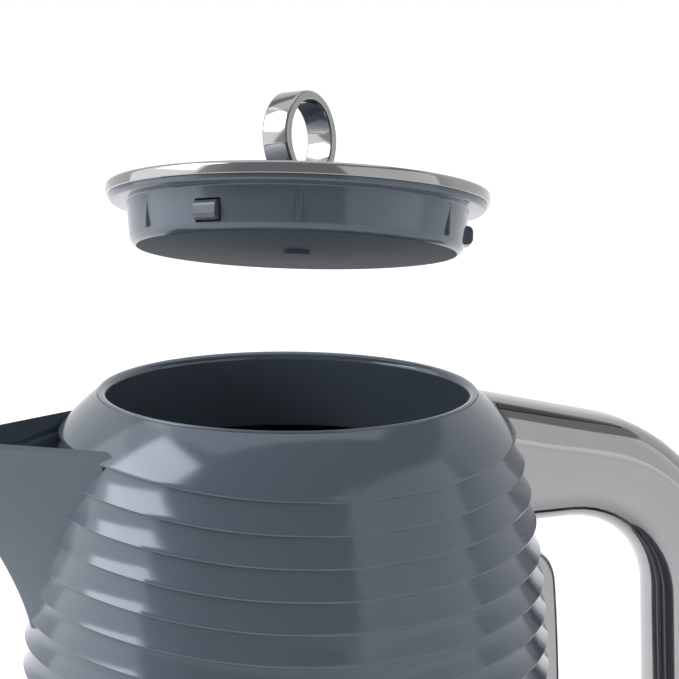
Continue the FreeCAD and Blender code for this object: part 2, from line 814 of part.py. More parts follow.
def spout():
    back = float(s.mouth_radius)
    outer = Part.makeLoft([spout_section(share, 0, back) for share in (0, 0.2, 0.4, 0.6, 0.8, 1)], True)
    shares = (-0.15, 0.05, 0.25, 0.45, 0.65)
    hollow = Part.makeLoft([spout_section(share, float(s.spout_wall), back) for share in shares], True)
    beak = outer.cut(hollow).cut(jug_core)
    solid = max(beak.Solids, key=lambda item: item.Volume)
    keep("spout", feature("spout", solid))


def filter_pieces():
    """A frame that follows the inner wall behind the pouring window, with a fine grid in it."""
    window_top = s.rim_height - s.window_drop
    depth = float(s.rib_relief + s.shell_wall + s.run_gap)
    outer = body_solid(-depth)
    inner = body_solid(-depth - float(s.filter_thickness))
    half = float(s.filter_half_width)
    low = float(window_top - s.window_height - s.filter_margin)
    high = float(window_top - s.filter_top_drop)
    frame = outer.cut(inner).common(box_shape((-s.body_radius.value, -half, low), (0, half, high)))
    border = float(s.filter_border)
    hole = box_shape((-s.body_radius.value, border - half, low + border), (0, half - border, high - border))
    keep("filter_frame", feature("filter_frame", frame.cut(hole)))
    net_depth = float(s.rib_relief + s.shell_wall + s.run_gap + s.mesh_depth)
    net_outer = body_solid(-net_depth)
    net_inner = body_solid(-net_depth - float(s.mesh_thickness))
    net = net_outer.cut(net_inner).common(hole)
    columns = int(float(s.mesh_columns))
    rows = int(float(s.mesh_rows))
    wire = float(s.mesh_wire_share)
    wide = 2 * (half - border) / columns
    tall = (high - low - 2 * border) / rows
    holes = []
    for column in range(columns):
        for row_number in range(rows):
            left = border - half + wide * (column + wire)
            base = low + border + tall * (row_number + wire)
            holes.append(box_shape((-s.body_radius.value, left, base),
                                   (0, left + wide * (1 - 2 * wire), base + tall * (1 - 2 * wire))))
    keep("filter_mesh", feature("filter_mesh", net.cut(Part.makeCompound(holes))))


# Handle and switch

def rounded_wire(corners):
    """A closed outline in the XZ plane of (x, z, bend radius) corners, with tangent arcs."""
    edges = []
    count = len(corners)
    marks = []
    for i, (x, z, bend) in enumerate(corners):
        here = Vector(x, 0, z)
        before = Vector(corners[i - 1][0], 0, corners[i - 1][1]) - here
        after = Vector(corners[(i + 1) % count][0], 0, corners[(i + 1) % count][1]) - here
        before.normalize()
        after.normalize()
        if bend == 0:
            marks.append((here, None, here))
            continue
        half = before.getAngle(after) / 2
        reach = bend / math.tan(half)
        bisector = (before + after).normalize()
        middle = here + bisector * (bend / math.sin(half) - bend)
        marks.append((here + before * reach, middle, here + after * reach))
    for i, (start, middle, end) in enumerate(marks):
        if middle is not None:
            edges.append(arc(start, middle, end))
        edges.append(line(end, marks[(i + 1) % count][0]))
    return Part.Wire(edges)


def gap_wire():
    """The finger gap's outline, closed inside the jug."""
    back = float(s.mouth_radius)
    return rounded_wire([
        (back, float(s.gap_bottom), 0), (float(gap_low_end), float(s.gap_bottom), float(s.gap_low_bend)),
        (float(gap_end), float(gap_top), float(s.gap_top_bend)), (back, float(gap_top - s.gap_root_drop), 0)])


def handle_wire():
    """The handle's side outline: an arm from the collar, a leg and a foot back to the skirt."""
    back = float(s.mouth_radius)
    fall = float(s.handle_slope)
    root_top = float(handle_top) + fall * (float(handle_top_place) - back)
    corner_top = root_top - fall * (float(handle_end) - back)
    gap = [(float(gap_end), float(gap_top), float(s.gap_top_bend)),
           (float(gap_low_end), float(s.gap_bottom), float(s.gap_low_bend))]
    return rounded_wire([
        (back, root_top, 0), (float(handle_end), corner_top, float(s.handle_top_bend)),
        (float(handle_low_end), float(s.handle_bottom), float(s.handle_low_bend)),
        (back, float(s.handle_bottom), 0), (back, float(s.gap_bottom), 0), gap[1], gap[0],
        (back, float(gap_top - s.gap_root_drop), 0)])


def slab(wire, width):
    """An XZ outline thickened evenly to both sides of the kettle's middle plane."""
    solid = Part.Face(wire).extrude(ALONG_Y * width)
    solid.translate(ALONG_Y * (-width / 2))
    return solid


def pivot():
    return Vector(float(pivot_place), 0, float(s.pivot_height))


def lever_paddle(extra, angle):
    """The lever's paddle, larger all round by an extra, pressed by an angle."""
    half = float(s.lever_thickness) / 2 + extra
    wide = float(s.lever_width) / 2 + extra
    paddle = Part.makeBox(float(s.lever_length) + extra, wide * 2, half * 2, Vector(0, -wide, -half))
    paddle.rotate(Vector(0, 0, 0), ALONG_Y, float(s.lever_slope) + angle)
    paddle.translate(pivot())
    return paddle


def handle():
    width = float(s.handle_width)
    wall = float(s.handle_wall)
    outline = handle_wire()
    full = slab(outline, width)
    flanks = [face for face in full.Faces if abs(face.normalAt(0, 0).y) > 0.99]
    rims = [edge for face in flanks for edge in face.Edges]
    full = full.makeFillet(float(s.handle_edge), rims)
    void = slab(outline.makeOffset2D(-wall), width - 2 * wall)
    ring = slab(gap_wire().makeOffset2D(wall), float(s.liner_width)).cut(slab(gap_wire(), width))
    seat = slab(gap_wire().makeOffset2D(wall), float(s.liner_width) + 2 * float(s.fit_gap))
    cover = full.cut(void).cut(seat).cut(jug_core)
    for angle in (0, float(s.lever_travel) / 2, float(s.lever_travel)):
        cover = cover.cut(lever_paddle(float(s.run_gap + s.fit_gap), angle))
    pin_start = pivot() - ALONG_Y * (width / 2 - wall / 2)
    cover = cover.cut(bar_shape(s.pin_radius + s.pin_gap, width - wall, pin_start, ALONG_Y))
    lug_low = (s.body_radius - s.lug_depth, -width / 2 + wall, handle_screw_height - s.lug_half_height)
    lug_high = (s.body_radius + s.lug_reach, width / 2 - wall, handle_screw_height + s.lug_half_height)
    lug = box_shape(lug_low, lug_high).cut(jug_core)
    for place in handle_screw_places():
        lug = lug.cut(bar_shape(s.screw_radius, s.body_radius, place, ALONG_X))
    cover = cover.fuse(lug).removeSplitter()
    keep("handle_cover", feature("handle_cover", max(cover.Solids, key=lambda item: item.Volume)))
    liner = ring.cut(jug_core)
    keep("handle_liner", feature("handle_liner", max(liner.Solids, key=lambda item: item.Volume)))
    screws = [screw_shape(s.screw_length - s.screw_head_height, place, ALONG_X)
              for place in handle_screw_places()]
    keep("handle_screws", feature("handle_screws", Part.makeCompound(screws)))


def steam_parts():
    port = float(steam_port_height)
    start = Vector(crease_radius(port) - float(s.shell_wall), 0, port)
    turn = float(s.steam_tube_bend)
    leg = float(steam_line)
    centre = Vector(leg - turn, 0, port - turn)
    low = Vector(leg, 0, float(s.steam_tube_end))
    knee = centre + Vector(math.sin(math.pi / 4), 0, math.cos(math.pi / 4)) * turn
    path = Part.Wire([line(start, centre + UP * turn), arc(centre + UP * turn, knee, centre + ALONG_X * turn),
                      line(centre + ALONG_X * turn, low)])

    def pipe(radius):
        ring = Part.Wire(Part.makeCircle(radius, start, ALONG_X))
        return path.makePipeShell([ring], True, False)

    outer = float(s.steam_tube_radius)
    keep("steam_tube", feature("steam_tube", pipe(outer).cut(pipe(outer - float(s.steam_tube_wall)))))
    half = float(s.handle_width) / 2 - float(s.handle_wall) - float(s.fit_gap)
    long_half = float(s.carrier_length) / 2
    top = float(s.steam_tube_end)
    base = top - float(s.carrier_thickness)
    plate = box_shape((leg - long_half, -half, base), (leg + long_half, half, top))
    vent = bar_shape(outer - float(s.steam_tube_wall), s.carrier_thickness, Vector(leg, 0, base), UP)
    keep("bimetal_carrier", feature("bimetal_carrier", plate.cut(vent)))
    disc = bar_shape(s.bimetal_radius, s.bimetal_thickness,
                     Vector(leg, 0, base - float(s.bimetal_thickness)), UP)
    keep("steam_bimetal", feature("steam_bimetal", disc))


def switch():
    pin_half = s.handle_width / 2 - s.handle_wall / 2 - s.fit_gap
    keep("switch_pin", rod("switch_pin", s.pin_radius, pin_half * 2,
                           (pivot_place, pin_half * -1, s.pivot_height), ALONG_Y))
    wide = float(s.lever_width)
    hub = bar_shape(s.hub_radius, wide, pivot() - ALONG_Y * (wide / 2), ALONG_Y)
    finger_half = float(s.finger_thickness) / 2
    finger_wide = float(s.finger_width) / 2
    finger_low = float(rod_height - s.rod_radius - s.finger_margin)
    finger = box_shape((float(pivot_place) - finger_half, -finger_wide, finger_low),
                       (float(pivot_place) + finger_half, finger_wide, s.pivot_height))
    lever = hub.fuse(lever_paddle(0, 0)).fuse(finger)
    lever = lever.cut(bar_shape(s.pin_radius + s.pin_gap, wide, pivot() - ALONG_Y * (wide / 2), ALONG_Y))
    keep("switch_lever", feature("switch_lever", lever.removeSplitter()))
    travel = math.radians(float(s.lever_travel)) * float(s.rod_drop)
    inner_end = s.control_radius + s.run_gap + travel
    outer_end = pivot_place - s.finger_thickness / 2 - s.finger_gap
    keep("trip_rod", rod("trip_rod", s.rod_radius, outer_end - inner_end, (inner_end, 0, rod_height),
                         ALONG_X))


# Water gauge

def gauge_front_solid(stand):
    """A filled body whose line stands off the jug's by a distance, and runs in to it at both ends."""
    low = float(s.gauge_bottom)
    high = float(gauge_top)
    steps = 24
    points = []
    for i in range(steps + 1):
        height = low + (high - low) * (1 - math.cos(math.pi * i / steps)) / 2
        inside = min(1.0, min(height - low, high - height) / float(s.gauge_end_round))
        points.append(point(crest_radius(height) + stand * math.sqrt(1 - (1 - inside) ** 2), height))
    edges = [spline(points), line(points[-1], point(0, high)), line(point(0, high), point(0, low)),
             line(point(0, low), points[0])]
    return spun(edges)


def gauge():
    half = float(s.gauge_half_width)
    slot = float(s.gauge_slot_half_width)
    low = float(s.gauge_bottom)
    high = float(gauge_top)
    border = float(s.gauge_border)
    reach = float(gauge_front)
    padded = body_solid(float(s.gauge_seal))
    bar = gauge_front_solid(float(s.gauge_reach)).common(box_shape((0, -half, low), (reach, half, high)))
    opening = box_shape((0, -slot, low + border), (reach + float(s.overrun), slot, high - border))
    frame = bar.cut(opening).cut(padded)
    keep("gauge_frame", feature("gauge_frame", max(frame.Solids, key=lambda item: item.Volume)))
    gap = float(s.fit_gap)
    light = box_shape((0, gap - slot, low + border + gap), (reach, slot - gap, high - border - gap))
    pane = gauge_front_solid(float(s.gauge_reach - s.gauge_inset)).common(light).cut(padded)
    keep("gauge_window", feature("gauge_window", max(pane.Solids, key=lambda item: item.Volume)))
    lip = float(s.seal_lip)
    band = box_shape((0, -slot - lip, low + border - lip), (reach, slot + lip, high - border + lip))
    water = box_shape((0, -float(s.water_slot_half_width), low + border + lip),
                      (reach, float(s.water_slot_half_width), high - border - lip))
    gasket = padded.cut(body_solid(float(s.pin_gap))).common(band).cut(water)
    keep("gauge_seal", feature("gauge_seal", max(gasket.Solids, key=lambda item: item.Volume)))


# Lid, made where it seats on the rim and then lifted and tipped about its cross pin

lean = math.radians(float(s.view_yaw))
pin_line = Vector(math.cos(lean), math.sin(lean), 0)
pin_centre = Vector(0, 0, float(cross_pin_height))
rise = Vector(float(s.lid_drift), 0, float(s.lid_lift))
tip = FreeCAD.Rotation(pin_line * -1, float(s.lid_tilt))
lid_pose = FreeCAD.Placement(rise, tip, pin_centre)


def lifted(name, item):
    """Lists a lid piece in its lifted place."""
    item.Placement = lid_pose.multiply(item.Placement)
    return keep(name, item)


def catch_yaws():
    return [float(s.catch_yaw) + 120.0 * i for i in range(3)]


def lid_plug():
    floor = lid_seat - s.plug_depth
    low = plug_radius - s.plug_taper
    bevel_top = low + s.plug_taper * s.plug_round / s.plug_depth
    cup = lathe("plug_cup", [
        (0, floor), (low - s.plug_round, floor), (bevel_top, floor + s.plug_round),
        (plug_radius, lid_seat), (lid_flange_radius, lid_seat),
        (lid_flange_radius, flange_top), (plug_radius - s.plug_wall, flange_top),
        (low - s.plug_wall, floor + s.plug_floor), (0, floor + s.plug_floor)])
    post_height = s.catch_height + s.plug_floor
    post = bar_shape(s.spring_post_radius, post_height,
                     Vector(float(spring_post_circle), 0, float(floor)), UP)
    extras = [turned_about_z(post, yaw) for yaw in catch_yaws()]
    rib_half = float(s.centring_rib_width) / 2
    rib = box_shape((low - s.plug_wall / 4, -rib_half, floor + s.centring_rib_lift),
                    (low + s.centring_rib, rib_half, lid_seat))
    extras += around(rib, 6, float(s.centring_rib_yaw))
    added = feature("plug_posts", Part.makeCompound(extras))
    wide = float(s.catch_width / 2 + s.catch_gap)
    tall = float(s.catch_height / 2 + s.catch_gap)
    middle = float(lid_seat - s.catch_drop)
    window = box_shape((catch_reach - s.catch_length - s.catch_travel, -wide, middle - tall),
                       (lid_radius, wide, middle + tall))
    openings = [turned_about_z(window, yaw) for yaw in catch_yaws()]
    windows = feature("catch_windows", Part.makeCompound(openings))
    hole = rod("lid_screw_hole", s.screw_radius + s.pin_gap, s.plug_floor * 3, (0, 0, floor - s.overrun), UP)
    lifted("lid_plug", cut("lid_plug", fuse("plug_body", cup, added), windows, hole))


def lid_trim_band():
    inner = lid_radius - s.trim_width
    top = flange_top + s.trim_height - s.trim_skirt
    lip = lid_flange_radius + s.pin_gap
    lifted("lid_trim_band", lathe("lid_trim_band", [
        (lip, flange_top - s.trim_skirt), (lid_radius, flange_top - s.trim_skirt),
        (lid_radius, top - s.trim_bevel), (lid_radius - s.trim_bevel, top), (inner, top),
        (inner, flange_top), (lip, flange_top)]))


def lid_cover():
    """A shallow dome inside the trim band, with a hole for the ring's stem."""
    edge = float(lid_radius - s.trim_width - s.fit_gap)
    low = float(flange_top)
    brim = low + float(s.trim_height - s.trim_skirt - s.cover_brim_drop)
    apex = low + float(s.cover_rise)
    wall = float(s.cover_wall)
    hole = float(s.stem_radius + s.fit_gap)
    sag = apex - brim
    radius = (edge ** 2 + sag ** 2) / (2 * sag)

    def dome(reach, drop):
        return point(reach, apex - drop - radius + math.sqrt(radius ** 2 - reach ** 2))

    inner = edge - wall
    edges = [line(point(edge, low), point(edge, brim)),
             arc(point(edge, brim), dome(edge / 2, 0), dome(hole, 0)),
             line(dome(hole, 0), dome(hole, wall)),
             arc(dome(hole, wall), dome(inner / 2, wall), dome(inner, wall)),
             line(dome(inner, wall), point(inner, low)), line(point(inner, low), point(edge, low))]
    lifted("lid_cover", feature("lid_cover", spun(edges)))


def lid_ring():
    """The upright ring pull with a round stem down through the cover."""
    yaw = math.radians(float(s.ring_yaw))
    axis = Vector(math.cos(yaw), math.sin(yaw), 0)
    middle = UP * float(ring_height)
    start = middle - axis * (float(s.ring_width) / 2)
    outer = bar_shape(s.ring_radius, s.ring_width, start, axis)
    inner = bar_shape(s.ring_radius - s.ring_band, s.ring_width, start, axis)
    top = float(ring_height) - float(s.ring_radius) + float(s.ring_band) / 2
    stem = bar_shape(s.stem_radius, top - float(stem_end), UP * float(stem_end), UP)
    half = float(s.stem_radius + s.overrun)
    cross = bar_shape(s.cross_pin_radius + s.pin_gap, half * 2, pin_centre - pin_line * half, pin_line)
    pilot = bar_shape(s.screw_radius, s.lid_screw_grip + s.overrun * 2, UP * float(stem_end - s.overrun), UP)
    ring = outer.cut(inner).fuse(stem.cut(inner)).cut(cross).cut(pilot)
    lifted("lid_ring", feature("lid_ring", ring.removeSplitter()))
    head = Vector(0, 0, float(lid_seat - s.plug_depth) - float(s.screw_head_height))
    length = float(stem_end + s.lid_screw_grip) - head.z - float(s.screw_head_height)
    lifted("lid_screw", feature("lid_screw", screw_shape(length, head, UP)))


def lid_cross_pin():
    half = float(s.cross_pin_length) / 2
    lifted("lid_cross_pin", feature("lid_cross_pin", bar_shape(
        s.cross_pin_radius, s.cross_pin_length, pin_centre - pin_line * half, pin_line)))


def lid_catches():
    middle = float(lid_seat - s.catch_drop)
    half_width = float(s.catch_width) / 2
    half_height = float(s.catch_height) / 2
    back = float(catch_reach - s.catch_length)
    for letter, yaw in zip("abc", catch_yaws()):
        tongue = box_shape((back, -half_width, middle - half_height),
                           (catch_reach, half_width, middle + half_height))
        nose = [edge for edge in tongue.Edges if abs(edge.BoundBox.XMin - float(catch_reach)) < 0.01
                and abs(edge.BoundBox.YLength - half_width * 2) < 0.01]
        tongue = tongue.makeFillet(float(s.catch_nose), nose)
        lifted(f"lid_catch_{letter}", feature(f"lid_catch_{letter}", turned_about_z(tongue, yaw)))
        root = float(spring_post_circle + s.spring_post_radius + s.pin_gap)
        end = back - float(s.pin_gap)
        sheet = float(s.spring_sheet)
        bow = float(s.spring_half_width)
        low = middle - float(s.spring_height) / 2
        outline = [Vector(root, sheet / 2, low), Vector(end - sheet, bow, low), Vector(end, bow, low),
                   Vector(root + sheet * 2, 0, low), Vector(end, -bow, low), Vector(end - sheet, -bow, low),
                   Vector(root, -sheet / 2, low)]
        leaf = Part.Face(Part.makePolygon(outline + [outline[0]])).extrude(UP * float(s.spring_height))
        lifted(f"catch_spring_{letter}", feature(f"catch_spring_{letter}", turned_about_z(leaf, yaw)))


for make in (base_top_cover, base_bottom_cover, base_feet, base_screws, base_socket, cord_gland, socket_core,
             jug_shell, neck_ring, jug_skirt, bottom_cover, heater, heating_element, control, spout,
             filter_pieces, handle, steam_parts, switch, gauge, lid_plug, lid_trim_band, lid_cover, lid_ring,
             lid_cross_pin, lid_catches):
    make()
doc.recompute()

for item in doc.Objects:
    if "Invalid" in item.State or "Error" in item.State:
        raise RuntimeError(f"{item.Label} failed: {item.State}")
for name, item in parts.items():
    if item.Shape.isNull() or not item.Shape.isValid() or not item.Shape.Solids:
        raise RuntimeError(f"{name} has no valid solid")

os.makedirs("parts", exist_ok=True)
for name, item in parts.items():
    item.Shape.exportStep(f"parts/{name}.step")
    print(f"{name}: {len(item.Shape.Solids)} solid(s), {item.Shape.Volume:.0f} mm3")
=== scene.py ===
"""The looks of an electric kettle: ribbed gloss jug, chrome handle, lifted lid and power base."""

import json
import logging
import math
from dataclasses import dataclass
from enum import Enum
from typing import Sequence

import bmesh
import bpy
from mathutils import Matrix, Vector
from mathutils.geometry import intersect_point_line

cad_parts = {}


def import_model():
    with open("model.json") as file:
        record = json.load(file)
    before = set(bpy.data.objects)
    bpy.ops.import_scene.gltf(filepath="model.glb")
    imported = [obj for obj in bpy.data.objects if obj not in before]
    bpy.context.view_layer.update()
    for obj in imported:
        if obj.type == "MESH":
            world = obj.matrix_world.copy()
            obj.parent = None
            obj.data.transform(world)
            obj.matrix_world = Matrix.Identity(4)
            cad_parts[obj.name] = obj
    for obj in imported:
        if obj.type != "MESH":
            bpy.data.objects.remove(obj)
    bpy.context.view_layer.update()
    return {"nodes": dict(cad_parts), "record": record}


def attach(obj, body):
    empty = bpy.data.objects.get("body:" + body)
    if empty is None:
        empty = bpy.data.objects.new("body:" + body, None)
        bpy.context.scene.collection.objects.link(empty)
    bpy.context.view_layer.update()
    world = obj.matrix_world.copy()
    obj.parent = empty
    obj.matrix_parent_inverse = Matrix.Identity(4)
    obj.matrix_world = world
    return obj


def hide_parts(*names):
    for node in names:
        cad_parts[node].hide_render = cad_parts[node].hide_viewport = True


LOG = logging.getLogger("kettle")
MM = 0.001
UP = Vector((0.0, 0.0, 1.0))
WINDOW_MARGIN = 8.0
Colour = tuple[float, float, float]
Corner = tuple[float, float, float]


class Slot(Enum):
    """The record's material slots."""

    BODY = "body_gloss"
    CATCH = "catch_plastic"
    CHROME = "chrome"
    CLEAR = "clear"
    DARK = "dark_plastic"
    CONTROL = "control_plastic"
    STEEL = "steel"
    ALUMINIUM = "aluminium"
    BRASS = "brass"
    SILICONE = "silicone"


class Body(Enum):
    """The moving bodies that pieces ride on."""

    BASE = "power_base"
    JUG = "jug"
    LID = "lid"
    SWITCH = "switch"


@dataclass(frozen=True)
class Finish:
    """A surface finish made of shader nodes on Object coordinates.

    Attributes:
        name: Name of the material.
        colour: Main colour, linear.
        shade: Second colour that drifts through the main one.
        rough: Lowest and highest roughness.
        cloud: Scale of the colour drift, per metre.
        grain: Scale of the fine surface grain, per metre.
        depth: Height of the grain, in metres.
        stretch: Scale of the grain along X, Y and Z, for brushed metal.
        metallic: Share of metal.
        coat: Weight of the clear coat.
        ior: Index of refraction.
        transmission: Share of light let through.
        specular: Strength of the mirror reflection.
        sheen_tint: Tint of the mirror reflection.
    """

    name: str
    colour: Colour
    shade: Colour
    rough: tuple[float, float]
    cloud: float = 40.0
    grain: float = 900.0
    depth: float = 0.00001
    stretch: Colour = (1.0, 1.0, 1.0)
    metallic: float = 0.0
    coat: float = 0.0
    ior: float = 1.5
    transmission: float = 0.0
    specular: float = 0.5
    sheen_tint: Colour = (1.0, 1.0, 1.0)

    def material(self) -> bpy.types.Material:
        """Gives the finish's material, made at its first use.

        Returns:
            The node material.
        """
        known = bpy.data.materials.get(self.name)
        if known:
            return known
        material = bpy.data.materials.new(self.name)
        material.use_nodes = True
        nodes = material.node_tree.nodes
        links = material.node_tree.links
        shader = nodes["Principled BSDF"]
        place = nodes.new("ShaderNodeTexCoord")
        turn = nodes.new("ShaderNodeMapping")
        turn.inputs["Scale"].default_value = self.stretch
        links.new(place.outputs["Object"], turn.inputs["Vector"])
        cloud = nodes.new("ShaderNodeTexNoise")
        cloud.inputs["Scale"].default_value = self.cloud
        cloud.inputs["Detail"].default_value = 3.0
        links.new(place.outputs["Object"], cloud.inputs["Vector"])
        mix = nodes.new("ShaderNodeMix")
        mix.data_type = "RGBA"
        mix.inputs["A"].default_value = (*self.colour, 1.0)
        mix.inputs["B"].default_value = (*self.shade, 1.0)
        links.new(cloud.outputs["Fac"], mix.inputs["Factor"])
        links.new(mix.outputs["Result"], shader.inputs["Base Color"])
        grain = nodes.new("ShaderNodeTexNoise")
        grain.inputs["Scale"].default_value = self.grain
        grain.inputs["Detail"].default_value = 4.0
        links.new(turn.outputs["Vector"], grain.inputs["Vector"])
        rough = nodes.new("ShaderNodeMapRange")
        rough.inputs["To Min"].default_value = self.rough[0]
        rough.inputs["To Max"].default_value = self.rough[1]
        links.new(grain.outputs["Fac"], rough.inputs["Value"])
        links.new(rough.outputs["Result"], shader.inputs["Roughness"])
        bump = nodes.new("ShaderNodeBump")
        bump.inputs["Strength"].default_value = 0.5
        bump.inputs["Distance"].default_value = self.depth
        links.new(grain.outputs["Fac"], bump.inputs["Height"])
        links.new(bump.outputs["Normal"], shader.inputs["Normal"])
        shader.inputs["Metallic"].default_value = self.metallic
        shader.inputs["IOR"].default_value = self.ior
        shader.inputs["Specular IOR Level"].default_value = self.specular
        shader.inputs["Specular Tint"].default_value = (*self.sheen_tint, 1.0)
        shader.inputs["Coat Weight"].default_value = self.coat
        shader.inputs["Coat Roughness"].default_value = 0.04
        shader.inputs["Transmission Weight"].default_value = self.transmission
        return material


# Blue tint of the glossy reflections: the cool cast of the studio light, painted into the finish.
COOL_LIGHT_CAST = (0.80, 0.90, 1.0)
GLOSS = Finish("slate_gloss", (0.058, 0.074, 0.095), (0.064, 0.080, 0.101), (0.12, 0.16), depth=0.000003,
               specular=0.72, sheen_tint=COOL_LIGHT_CAST)
# Satin moulding for the lid's underside. Its darker copy of the gloss colour and its weak reflection are
# partly painted shade for faces that look down.
SHADED_SATIN_UNDERSIDE = Finish("slate_satin_painted_shade", (0.046, 0.060, 0.078), (0.052, 0.066, 0.084), (0.5, 0.6), specular=0.05,
                   sheen_tint=COOL_LIGHT_CAST)
CATCH_GLOSS = Finish("slate_catch", (0.066, 0.081, 0.100), (0.074, 0.089, 0.108), (0.22, 0.30))
# Chrome with a low base colour that dims all its reflections: painted shade for the darker surroundings it
# mirrors.
CHROME = Finish("dimmed_chrome", (0.275, 0.272, 0.277), (0.315, 0.312, 0.317), (0.07, 0.11), depth=0.000003,
                metallic=1.0)
# Near-black finish: painted shade standing in for the shadow inside the grooves along the handle's arm.
PAINTED_GROOVE_SHADE = Finish("painted_groove_shadow", (0.012, 0.012, 0.014), (0.02, 0.02, 0.022), (0.35, 0.5))
CLEAR = Finish("clear_window", (0.90, 0.94, 0.96), (0.94, 0.97, 0.98), (0.03, 0.06), transmission=0.92,
               ior=1.49)
DARK = Finish("dark_moulding", (0.030, 0.034, 0.040), (0.038, 0.042, 0.048), (0.38, 0.55), grain=2600.0,
              depth=0.00004)
CONTROL = Finish("control_moulding", (0.016, 0.016, 0.017), (0.024, 0.024, 0.025), (0.45, 0.6), grain=2600.0)
STEEL = Finish("brushed_steel", (0.56, 0.56, 0.57), (0.64, 0.64, 0.65), (0.22, 0.42), grain=300.0,
               stretch=(1.0, 14.0, 14.0), metallic=1.0)
ALUMINIUM = Finish("mill_aluminium", (0.66, 0.66, 0.67), (0.72, 0.72, 0.73), (0.35, 0.5), metallic=1.0)
BRASS = Finish("contact_brass", (0.70, 0.50, 0.22), (0.62, 0.42, 0.18), (0.2, 0.35), metallic=1.0)
SILICONE = Finish("silicone", (0.30, 0.30, 0.31), (0.36, 0.36, 0.37), (0.5, 0.65), grain=1800.0,
                  depth=0.00003)

SLOT_FINISH: dict[Slot, Finish] = {
    Slot.BODY: GLOSS, Slot.CATCH: CATCH_GLOSS, Slot.CHROME: CHROME, Slot.CLEAR: CLEAR, Slot.DARK: DARK,
    Slot.CONTROL: CONTROL, Slot.STEEL: STEEL, Slot.ALUMINIUM: ALUMINIUM, Slot.BRASS: BRASS,
    Slot.SILICONE: SILICONE,
}


def round_corner(bm: bmesh.types.BMesh, vert: bmesh.types.BMVert, bend: float, segments: int = 5) -> None:
    """Rounds one corner of an outline with a tangent arc.

    Args:
        bm: The mesh that holds the outline.
        vert: The corner.
        bend: Radius of the arc.
        segments: Number of edges along the arc.
    """
    before, after = (edge.other_vert(vert).co - vert.co for edge in vert.link_edges)
    offset = bend / math.tan(before.angle(after) / 2)
    bmesh.ops.bevel(bm, geom=[vert], offset=offset, offset_type="OFFSET", affect="VERTICES",
                    segments=segments, profile=0.5, material=-1, clamp_overlap=False)


def draw_outline(corners: Sequence[Corner], closed: bool = True, segments: int = 5) -> bmesh.types.BMesh:
    """Draws an outline in the XZ plane.

    Args:
        corners: X, Z and bend radius of each corner.
        closed: Whether the last corner joins the first.
        segments: Number of edges along each bend.

    Returns:
        A mesh of edges.
    """
    bm = bmesh.new()
    verts = [bm.verts.new((x, 0.0, z)) for x, z, _ in corners]
    pairs = list(zip(verts, verts[1:])) + ([(verts[-1], verts[0])] if closed else [])
    for pair in pairs:
        bm.edges.new(pair)
    for vert, (_, _, bend) in zip(verts, corners):
        if bend:
            round_corner(bm, vert, bend, segments)
    return bm


def spin_round(bm: bmesh.types.BMesh, steps: int = 180) -> bmesh.types.BMesh:
    """Spins everything in a mesh once round the Z axis.

    Args:
        bm: A mesh of edges in the XZ plane.
        steps: Number of steps in the turn.

    Returns:
        The same mesh, with faces that point outwards.
    """
    bmesh.ops.spin(bm, geom=bm.verts[:] + bm.edges[:], cent=(0, 0, 0), axis=(0, 0, 1), angle=2 * math.pi,
                   steps=steps, use_merge=True)
    bmesh.ops.remove_doubles(bm, verts=bm.verts, dist=1e-4)
    bmesh.ops.dissolve_degenerate(bm, edges=bm.edges, dist=1e-5)
    bmesh.ops.recalc_face_normals(bm, faces=bm.faces)
    return bm


def turned(corners: Sequence[Corner], closed: bool = True, steps: int = 180) -> bmesh.types.BMesh:
    """Makes a turned piece from an outline of radius, height and bend.

    Args:
        corners: Radius, height and bend radius of each corner.
        closed: Whether the outline is a closed section.
        steps: Number of steps in the turn.

    Returns:
        The turned mesh, in millimetres.
    """
    return spin_round(draw_outline(corners, closed), steps)


def cut_window(bm: bmesh.types.BMesh, yaw: float, half_width: float, low: float, high: float,
               reach: float) -> None:
    """Opens a rectangular window in a turned sheet.

    Args:
        bm: The sheet.
        yaw: Direction that the window faces, in degrees.
        half_width: Half of the window's width.
        low: Height of its lower edge.
        high: Height of its upper edge.
        reach: Least distance from the axis of the faces to cut.
    """
    angle = math.radians(yaw)
    out = Vector((math.cos(angle), math.sin(angle), 0.0))
    side = Vector((-math.sin(angle), math.cos(angle), 0.0))

    def near(margin: float) -> list[bmesh.types.BMFace]:
        """Lists the faces whose middle lies in the window, with a margin round it."""
        found = []
        for face in bm.faces:
            middle = face.calc_center_median()
            if (middle.dot(out) > reach and abs(middle.dot(side)) < half_width + margin
                    and low - margin < middle.z < high + margin):
                found.append(face)
        return found

    cuts = ((side * half_width, side), (side * -half_width, side), (UP * low, UP), (UP * high, UP))
    for origin, normal in cuts:
        faces = near(WINDOW_MARGIN)
        edges = {edge for face in faces for edge in face.edges}
        verts = {vert for face in faces for vert in face.verts}
        bmesh.ops.bisect_plane(bm, geom=[*faces, *edges, *verts], dist=1e-4, plane_co=origin, plane_no=normal)
    bmesh.ops.delete(bm, geom=near(0.0), context="FACES")


